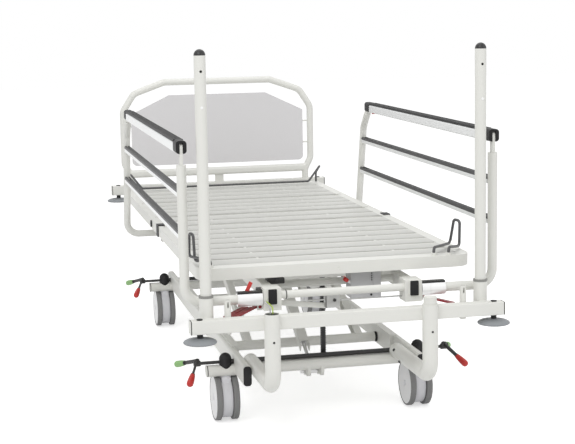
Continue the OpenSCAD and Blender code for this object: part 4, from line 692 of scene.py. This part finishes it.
def make_brake(end):
    """The hexagon bar with its two Vs, and the four coloured tips."""
    y = BAR_Y[end]
    levers, tips = bmesh.new(), bmesh.new()
    add_rod(levers, (-DOME_X, y, BAR_Z), (DOME_X, y, BAR_Z), BAR_FLATS / math.sqrt(3), segments=6)
    for side in (-1, 1):
        hub = Vector((side * HUB_X, y, BAR_Z))
        add_rod(levers, (side * DOME_X, y, BAR_Z), (side * (BAR_END - 2 * MM), y, BAR_Z),
                BAR_OUTER / math.sqrt(3), segments=6)
        out = Vector((side, 0, 0))
        add_rod(levers, hub - out * 11 * MM, hub + out * 11 * MM, 9.5 * MM, bevel=1.5 * MM)
        add_rod(levers, hub - out * 3 * MM, hub + out * 10.5 * MM, 5 * MM, segments=24, bevel=0.8 * MM)
        knuckle = hub + Vector((0, 0, ARM_RISE))
        add_rod(levers, knuckle - out * 7 * MM, knuckle + out * 7.5 * MM, 6.5 * MM, bevel=1 * MM)
        add_rod(levers, (side * (DOME_X - BEARING_HALF), y, BAR_Z),
                (side * (DOME_X + BEARING_HALF), y, BAR_Z), 8.5 * MM)
        for arm, index in ((RED_ARM, 0), (GREEN_ARM, 1)):
            way = Vector((side * arm.x, arm.y, arm.z))
            tip_start = knuckle + way * (1 - TIP_LENGTH / way.length)
            add_flat_bar(levers, knuckle - way.normalized() * 5 * MM,
                         tip_start + way.normalized() * 4 * MM, ARM_WIDTH, ARM_THICK, out, 1.2 * MM)
            add_rod(levers, tip_start - way.normalized() * 5 * MM, tip_start + way.normalized() * 3 * MM,
                    7.2 * MM, 6.6 * MM, bevel=0.8 * MM)
            add_turned(tips, tip_profile(TIP_LENGTH), tip_start, way, 40, index)
    body = "brake_" + end
    return (finish_piece(levers, "brake_levers_" + end, body, [dark_steel],
                         ["brake_bar_" + end], 25),
            finish_piece(tips, "pedal_tips_" + end, body, [red, green],
                         ["brake_grips_" + end], 40))


brakes = [make_brake(end) for end in BAR_Y]
print("brakes:", len(brakes))

# %% [markdown]
# ## Bumpers
# The discs under the beams' ends are thin lenses. A short profile gives the swelling upper
# face, a rounded rim and the nearly flat underside, and the bore for the stud.

# %% Bumpers
def lens_profile(radius, height):
    """A lens from its upper face down, closed."""
    bore = 6.1 * MM
    return [(bore, 0), (15 * MM, -0.03 * height), (radius * 0.55, -0.13 * height),
            (radius * 0.82, -0.3 * height), (radius * 0.95, -0.48 * height), (radius, -0.66 * height),
            (radius * 0.985, -0.8 * height), (radius * 0.94, -0.9 * height),
            (radius * 0.7, -0.97 * height), (bore, -height), (bore, 0)]


def make_bumper(corner):
    """One bumper disc."""
    low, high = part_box("bumper_" + corner)
    middle = (low + high) / 2
    bm = bmesh.new()
    add_turned(bm, lens_profile((high.x - low.x) / 2, high.z - low.z), (middle.x, middle.y, high.z),
               (0, 0, 1), steps=72)
    return finish_piece(bm, "lens_" + corner, "bumper_" + corner, [lens],
                        ["bumper_" + corner], 50)


lenses = [make_bumper(corner) for corner in CORNERS]
print("bumpers:", len(lenses))

# %% [markdown]
# ## Control box
# A folded sheet box hangs from the second cross tube. Its right edge stands out as a flange
# with four small holes in a row. The flange is a block of its own, and the holes get painted
# shade: shallow dark pins stand for their dark insides.

# %% Control box
BOX_BACK = -892 * MM
BOX_FOLD_X = 125 * MM
BOX_HEIGHT = 86 * MM
HOLE_X, HOLE_DROP, HOLE_PITCH = 119 * MM, 9 * MM, 7 * MM
LOWER_HOLE_X = 117 * MM
HANGER_PLACES, HANGER_HALF = (64 * MM, 136 * MM), 6 * MM


def make_control_box():
    """The box, its flange, its holes and its hangers."""
    low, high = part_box("control_box")
    face_y = low.y
    hole_front, hole_back = face_y + 0.6 * MM, face_y + 3 * MM
    box_low = high.z - BOX_HEIGHT
    bm = bmesh.new()
    add_block(bm, (low.x, face_y + 1.5 * MM, box_low), (BOX_FOLD_X, BOX_BACK, high.z), 1.5 * MM, 3)
    add_block(bm, (BOX_FOLD_X - 1 * MM, face_y, box_low), (high.x, BOX_BACK - 8 * MM, high.z), 1 * MM, 2)
    # Painted shade: dark pins stand for the dark insides of the holes.
    for i in range(4):
        z = high.z - HOLE_DROP - i * HOLE_PITCH
        add_rod(bm, (HOLE_X, hole_front, z), (HOLE_X, hole_back, z), 2 * MM, segments=20, index=1)
    # Painted shade in the lower round hole, as a dark pin.
    z = box_low + HOLE_DROP
    add_rod(bm, (LOWER_HOLE_X, hole_front, z), (LOWER_HOLE_X, hole_back, z), 3.5 * MM, segments=24,
            index=1)
    for x in HANGER_PLACES:
        left, right = x - HANGER_HALF, x + HANGER_HALF
        add_block(bm, (left, -896 * MM, 470 * MM), (right, high.y, high.z), 1 * MM, 2)
        add_block(bm, (left, high.y - 4 * MM, 446 * MM), (right, high.y, high.z - 1 * MM), 1 * MM, 2)
    return finish_piece(bm, "folded_box", "lift_frame", [box_grey, black], ["control_box"])


make_control_box()

# %% [markdown]
# ## Small things under the head end
# A zinc plate with a bolt hangs from the front cross tube and holds a thin release rod. A pale
# link runs to it from the left, a thicker rod lies across behind it, and a dark ring clamps the
# cross tube. A red knob stands at the control box, a dark switch box sits on the left side tube,
# and a short red latch with a spring stands by the left rail block.

# %% Release gear
PLATE_LEFT, PLATE_RIGHT, PLATE_LOW = -50, -5, 404
CROSS_ROD_Y, CROSS_ROD_Z = -925, 430
THIN_ROD_Y, THIN_ROD_RADIUS = -1025.5, 2.4 * MM
CLAMP_X, CLAMP_Y, CLAMP_Z = -177, -1040, 457
SPRING_X, SPRING_Y, SPRING_Z = -262, -1012, 474
SPRING_TURNS, SPRING_PITCH = 5, 3.2


def make_release_gear():
    """Plate, rods, bolt, clamp ring and latch spring."""
    bm = bmesh.new()
    add_block(bm, at(PLATE_LEFT, -1031, PLATE_LOW), at(PLATE_RIGHT, -1027, 462), 1.2 * MM, 3)
    add_block(bm, at(PLATE_LEFT, -1031, PLATE_LOW), at(PLATE_LEFT + 4, -1006, 452), 1.2 * MM, 3)
    add_rod(bm, at(-210, CROSS_ROD_Y, CROSS_ROD_Z), at(54, CROSS_ROD_Y, CROSS_ROD_Z), 9 * MM, segments=40)
    for left, right, z in ((-6, 197, 427), (-104, -48, 430)):
        add_rod(bm, at(left, THIN_ROD_Y, z), at(right, THIN_ROD_Y, z), THIN_ROD_RADIUS, segments=20)
    add_rod(bm, at(-22, -1035, 428), at(-22, -1024, 428), 5.5 * MM, segments=6, bevel=0.6 * MM, index=1)
    add_rod(bm, at(CLAMP_X, CLAMP_Y, CLAMP_Z), at(CLAMP_X + 2.5, CLAMP_Y, CLAMP_Z), 14 * MM,
            segments=48, bevel=0.5 * MM, index=1)
    add_rod(bm, at(-266, SPRING_Y, SPRING_Z), at(-246, SPRING_Y, SPRING_Z), 2.6 * MM, segments=20)
    for i in range(SPRING_TURNS):
        x = (SPRING_X + SPRING_PITCH * i) * MM
        add_rod(bm, (x, SPRING_Y * MM, SPRING_Z * MM), (x + 1.9 * MM, SPRING_Y * MM, SPRING_Z * MM),
                5 * MM, segments=28, bevel=0.6 * MM, index=1)
    return finish_piece(bm, "release_gear", "lift_frame", [zinc, dark_steel])


def make_link():
    """The pale flat link from the left end block to the zinc plate."""
    bm = bmesh.new()
    add_flat_bar(bm, at(-197, -1009, 427), at(-46, -1009, 408), 17 * MM, 5 * MM, (0, -1, 0), 1.2 * MM)
    return finish_piece(bm, "release_link", "lift_frame", [coat])


def make_red_details():
    """The red knob with its pale ring, and the red latch."""
    bm = bmesh.new()
    add_rod(bm, at(53, -942, 462), at(39, -948, 471), 4.5 * MM, bevel=0.8 * MM, index=1)
    add_rod(bm, at(42, -947, 469), at(30, -952, 477), 6.5 * MM, bevel=2 * MM)
    add_flat_bar(bm, at(-297, -1025, 462), at(-276, -1006, 494), 12 * MM, 5 * MM, (0, -1, 0.3), 1.2 * MM)
    return finish_piece(bm, "knob_and_latch", "lift_frame", [red, disc_white])


def make_switch_box():
    """The dark box on the left side tube."""
    bm = bmesh.new()
    add_block(bm, at(-212, -948, 472), at(-158, -905, 490), 2.5 * MM, 3)
    add_rod(bm, at(-185, -950, 481), at(-185, -946, 481), 4 * MM, segments=24, bevel=0.6 * MM)
    return finish_piece(bm, "switch_box", "lift_frame", [dark_steel])


for make in (make_release_gear, make_link, make_red_details, make_switch_box):
    make()

# %% [markdown]
# ## Screws
# The bent uprights carry a dark screw in front and two bolts on the inner side of their return.
# A dark disc sits inside the open left one. A hexagon head closes the left end of the ram's lower
# pin. The pin's right end is flush with its lug, because the toothed strip sinks past it. A
# socket screw is a short turned head with a round sunk socket.

# %% Screws
def screw_profile(radius, height):
    """A domed head with a socket."""
    return [(0, height * 0.45), (radius * 0.45, height * 0.45), (radius * 0.5, height * 0.95),
            (radius * 0.75, height), (radius * 0.95, height * 0.75), (radius, height * 0.3),
            (radius, 0), (0, 0)]


UPRIGHT_X = 243.6
UPRIGHT_Y = -1154
TUBE_RADIUS, TUBE_Z = 21 * MM, 199 * MM
BOLT_PLACES = ((-905 * MM, 187 * MM), (-845 * MM, 211 * MM))


def make_screws():
    """Screws and bolts of the bent uprights, the dark disc in the left one and the ram pin's head."""
    bm = bmesh.new()
    for side in (-1, 1):
        add_turned(bm, screw_profile(3.4 * MM, 2.4 * MM), at(side * UPRIGHT_X, -1177, 342), (0, -1, 0), 24)
        for y, z in BOLT_PLACES:
            add_turned(bm, screw_profile(5 * MM, 4 * MM), (side * 222.2 * MM, y, z),
                       (-side, 0, (z - TUBE_Z) / TUBE_RADIUS), 24)
    add_rod(bm, at(-59, -740, 138), at(-54, -740, 138), 8 * MM, segments=6, bevel=0.4 * MM)
    # A dark disc inside the open left upright.
    add_rod(bm, at(-UPRIGHT_X, UPRIGHT_Y, 414), at(-UPRIGHT_X, UPRIGHT_Y, 422.5), 20.9 * MM,
            segments=48, bevel=0.6 * MM)
    return finish_piece(bm, "upright_screws", "chassis", [dark_steel])


make_screws()

# %% [markdown]
# ## Earth wires
# Two thin wires leave the upper frame's end and drop into the open left upright. Each is a
# smooth tube round a short curve.

# %% Earth wires
WIRE_RADIUS = 1.8 * MM
WIRE_Y = -1146 * MM
WIRE_TOP = 442 * MM


def make_wire(name, x, material):
    """One wire, from inside the upright to the upper frame's end."""
    curve = bpy.data.curves.new(name, "CURVE")
    curve.dimensions = "3D"
    curve.bevel_depth = WIRE_RADIUS
    curve.bevel_resolution = 4
    curve.use_fill_caps = True
    spline = curve.splines.new("NURBS")
    points = [(x, WIRE_Y, 292 * MM), (x, WIRE_Y, 340 * MM), (x, WIRE_Y, 385 * MM), (x, WIRE_Y, 410 * MM),
              (x, WIRE_Y, 430 * MM), (x, WIRE_Y + 1 * MM, WIRE_TOP), (x, WIRE_Y + 16 * MM, WIRE_TOP),
              (x, -1090 * MM, WIRE_TOP), (x, -1061.3 * MM, WIRE_TOP)]
    spline.points.add(len(points) - 1)
    for point, place in zip(spline.points, points):
        point.co = (*place, 1)
    spline.order_u = 4
    spline.use_endpoint_u = True
    spline.resolution_u = 6
    source = bpy.data.objects.new(name + "_line", curve)
    bpy.context.scene.collection.objects.link(source)
    bpy.context.view_layer.update()
    shown = source.evaluated_get(bpy.context.evaluated_depsgraph_get())
    mesh = bpy.data.meshes.new_from_object(shown)
    bpy.data.objects.remove(source)
    for polygon in mesh.polygons:
        polygon.use_smooth = True
    mesh.materials.clear()
    mesh.materials.append(material)
    piece = bpy.data.objects.new(name, mesh)
    bpy.context.scene.collection.objects.link(piece)
    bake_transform(piece)
    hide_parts("earth_lead")
    return piece


make_wire("earth_wire_grey", -247.0 * MM, box_grey)
make_wire("earth_wire_green", -239.0 * MM, yellow)

# %% [markdown]
# ## Light, floor and background
# The photograph is a product shot: an even white with soft light from above and in front.
# The lamps are large areas. The floor and the world look pure white to the camera by their
# own colour, and the floor still keeps the bed's soft shadow.

# %% Stage
WORLD_LIGHT = 0.62
FLOOR_GLOW = 0.55
LAMPS = (("key", (-2.4, -4.2, 4.4), (0, -0.3, 0.5), 3.0, 105),
         ("fill", (3.4, -3.4, 2.6), (0, -0.2, 0.5), 3.0, 24),
         ("top", (0, 0.6, 4.6), (0, 0, 0.5), 3.5, 50))


def add_area(name, place, target, size, power):
    """A square soft light that looks at a point."""
    data = bpy.data.lights.new(name, "AREA")
    data.shape = "SQUARE"
    data.size = size
    data.energy = power
    light = bpy.data.objects.new(name, data)
    way = Vector(target) - Vector(place)
    turn = way.to_track_quat("-Z", "Y").to_matrix().to_4x4()
    light.matrix_world = Matrix.Translation(Vector(place)) @ turn
    bpy.context.scene.collection.objects.link(light)


def seen_white(tree):
    """A socket: 1 for rays from the camera, from gloss and through glass."""
    path = tree.nodes.new("ShaderNodeLightPath")
    total = path.outputs["Is Camera Ray"]
    for name in ("Is Glossy Ray", "Is Transmission Ray"):
        step = tree.nodes.new("ShaderNodeMath")
        step.operation = "ADD"
        step.use_clamp = True
        tree.links.new(total, step.inputs[0])
        tree.links.new(path.outputs[name], step.inputs[1])
        total = step.outputs[0]
    return total


def add_world():
    """White to look at, softer as a light."""
    world = bpy.data.worlds.new("studio")
    world.use_nodes = True
    tree = world.node_tree
    tree.nodes.clear()
    mix = tree.nodes.new("ShaderNodeMixShader")
    for strength, entry in ((WORLD_LIGHT, 1), (1, 2)):
        shine = tree.nodes.new("ShaderNodeBackground")
        shine.inputs["Color"].default_value = (1, 1, 1, 1)
        shine.inputs["Strength"].default_value = strength
        tree.links.new(shine.outputs[0], mix.inputs[entry])
    tree.links.new(seen_white(tree), mix.inputs["Fac"])
    out = tree.nodes.new("ShaderNodeOutputWorld")
    tree.links.new(mix.outputs[0], out.inputs["Surface"])
    bpy.context.scene.world = world


def add_floor():
    """A pale floor that looks white where it is lit and keeps a soft shadow."""
    bm = bmesh.new()
    bmesh.ops.create_grid(bm, x_segments=1, y_segments=1, size=20)
    mesh = bpy.data.meshes.new("floor")
    bm.to_mesh(mesh)
    bm.free()
    material, shader = new_material("floor_white", (0.85, 0.85, 0.85), 0.9, specular=0.0)
    tree = material.node_tree
    glow = tree.nodes.new("ShaderNodeEmission")
    tree.links.new(seen_white(tree), glow.inputs["Strength"])
    glow.inputs["Color"].default_value = (FLOOR_GLOW, FLOOR_GLOW, FLOOR_GLOW, 1)
    total = tree.nodes.new("ShaderNodeAddShader")
    tree.links.new(shader.outputs[0], total.inputs[0])
    tree.links.new(glow.outputs[0], total.inputs[1])
    tree.links.new(total.outputs[0], tree.nodes["Material Output"].inputs["Surface"])
    mesh.materials.append(material)
    floor = bpy.data.objects.new("floor", mesh)
    bpy.context.scene.collection.objects.link(floor)


add_world()
add_floor()
for lamp in LAMPS:
    add_area(*lamp)
bpy.context.scene.view_settings.view_transform = "Standard"
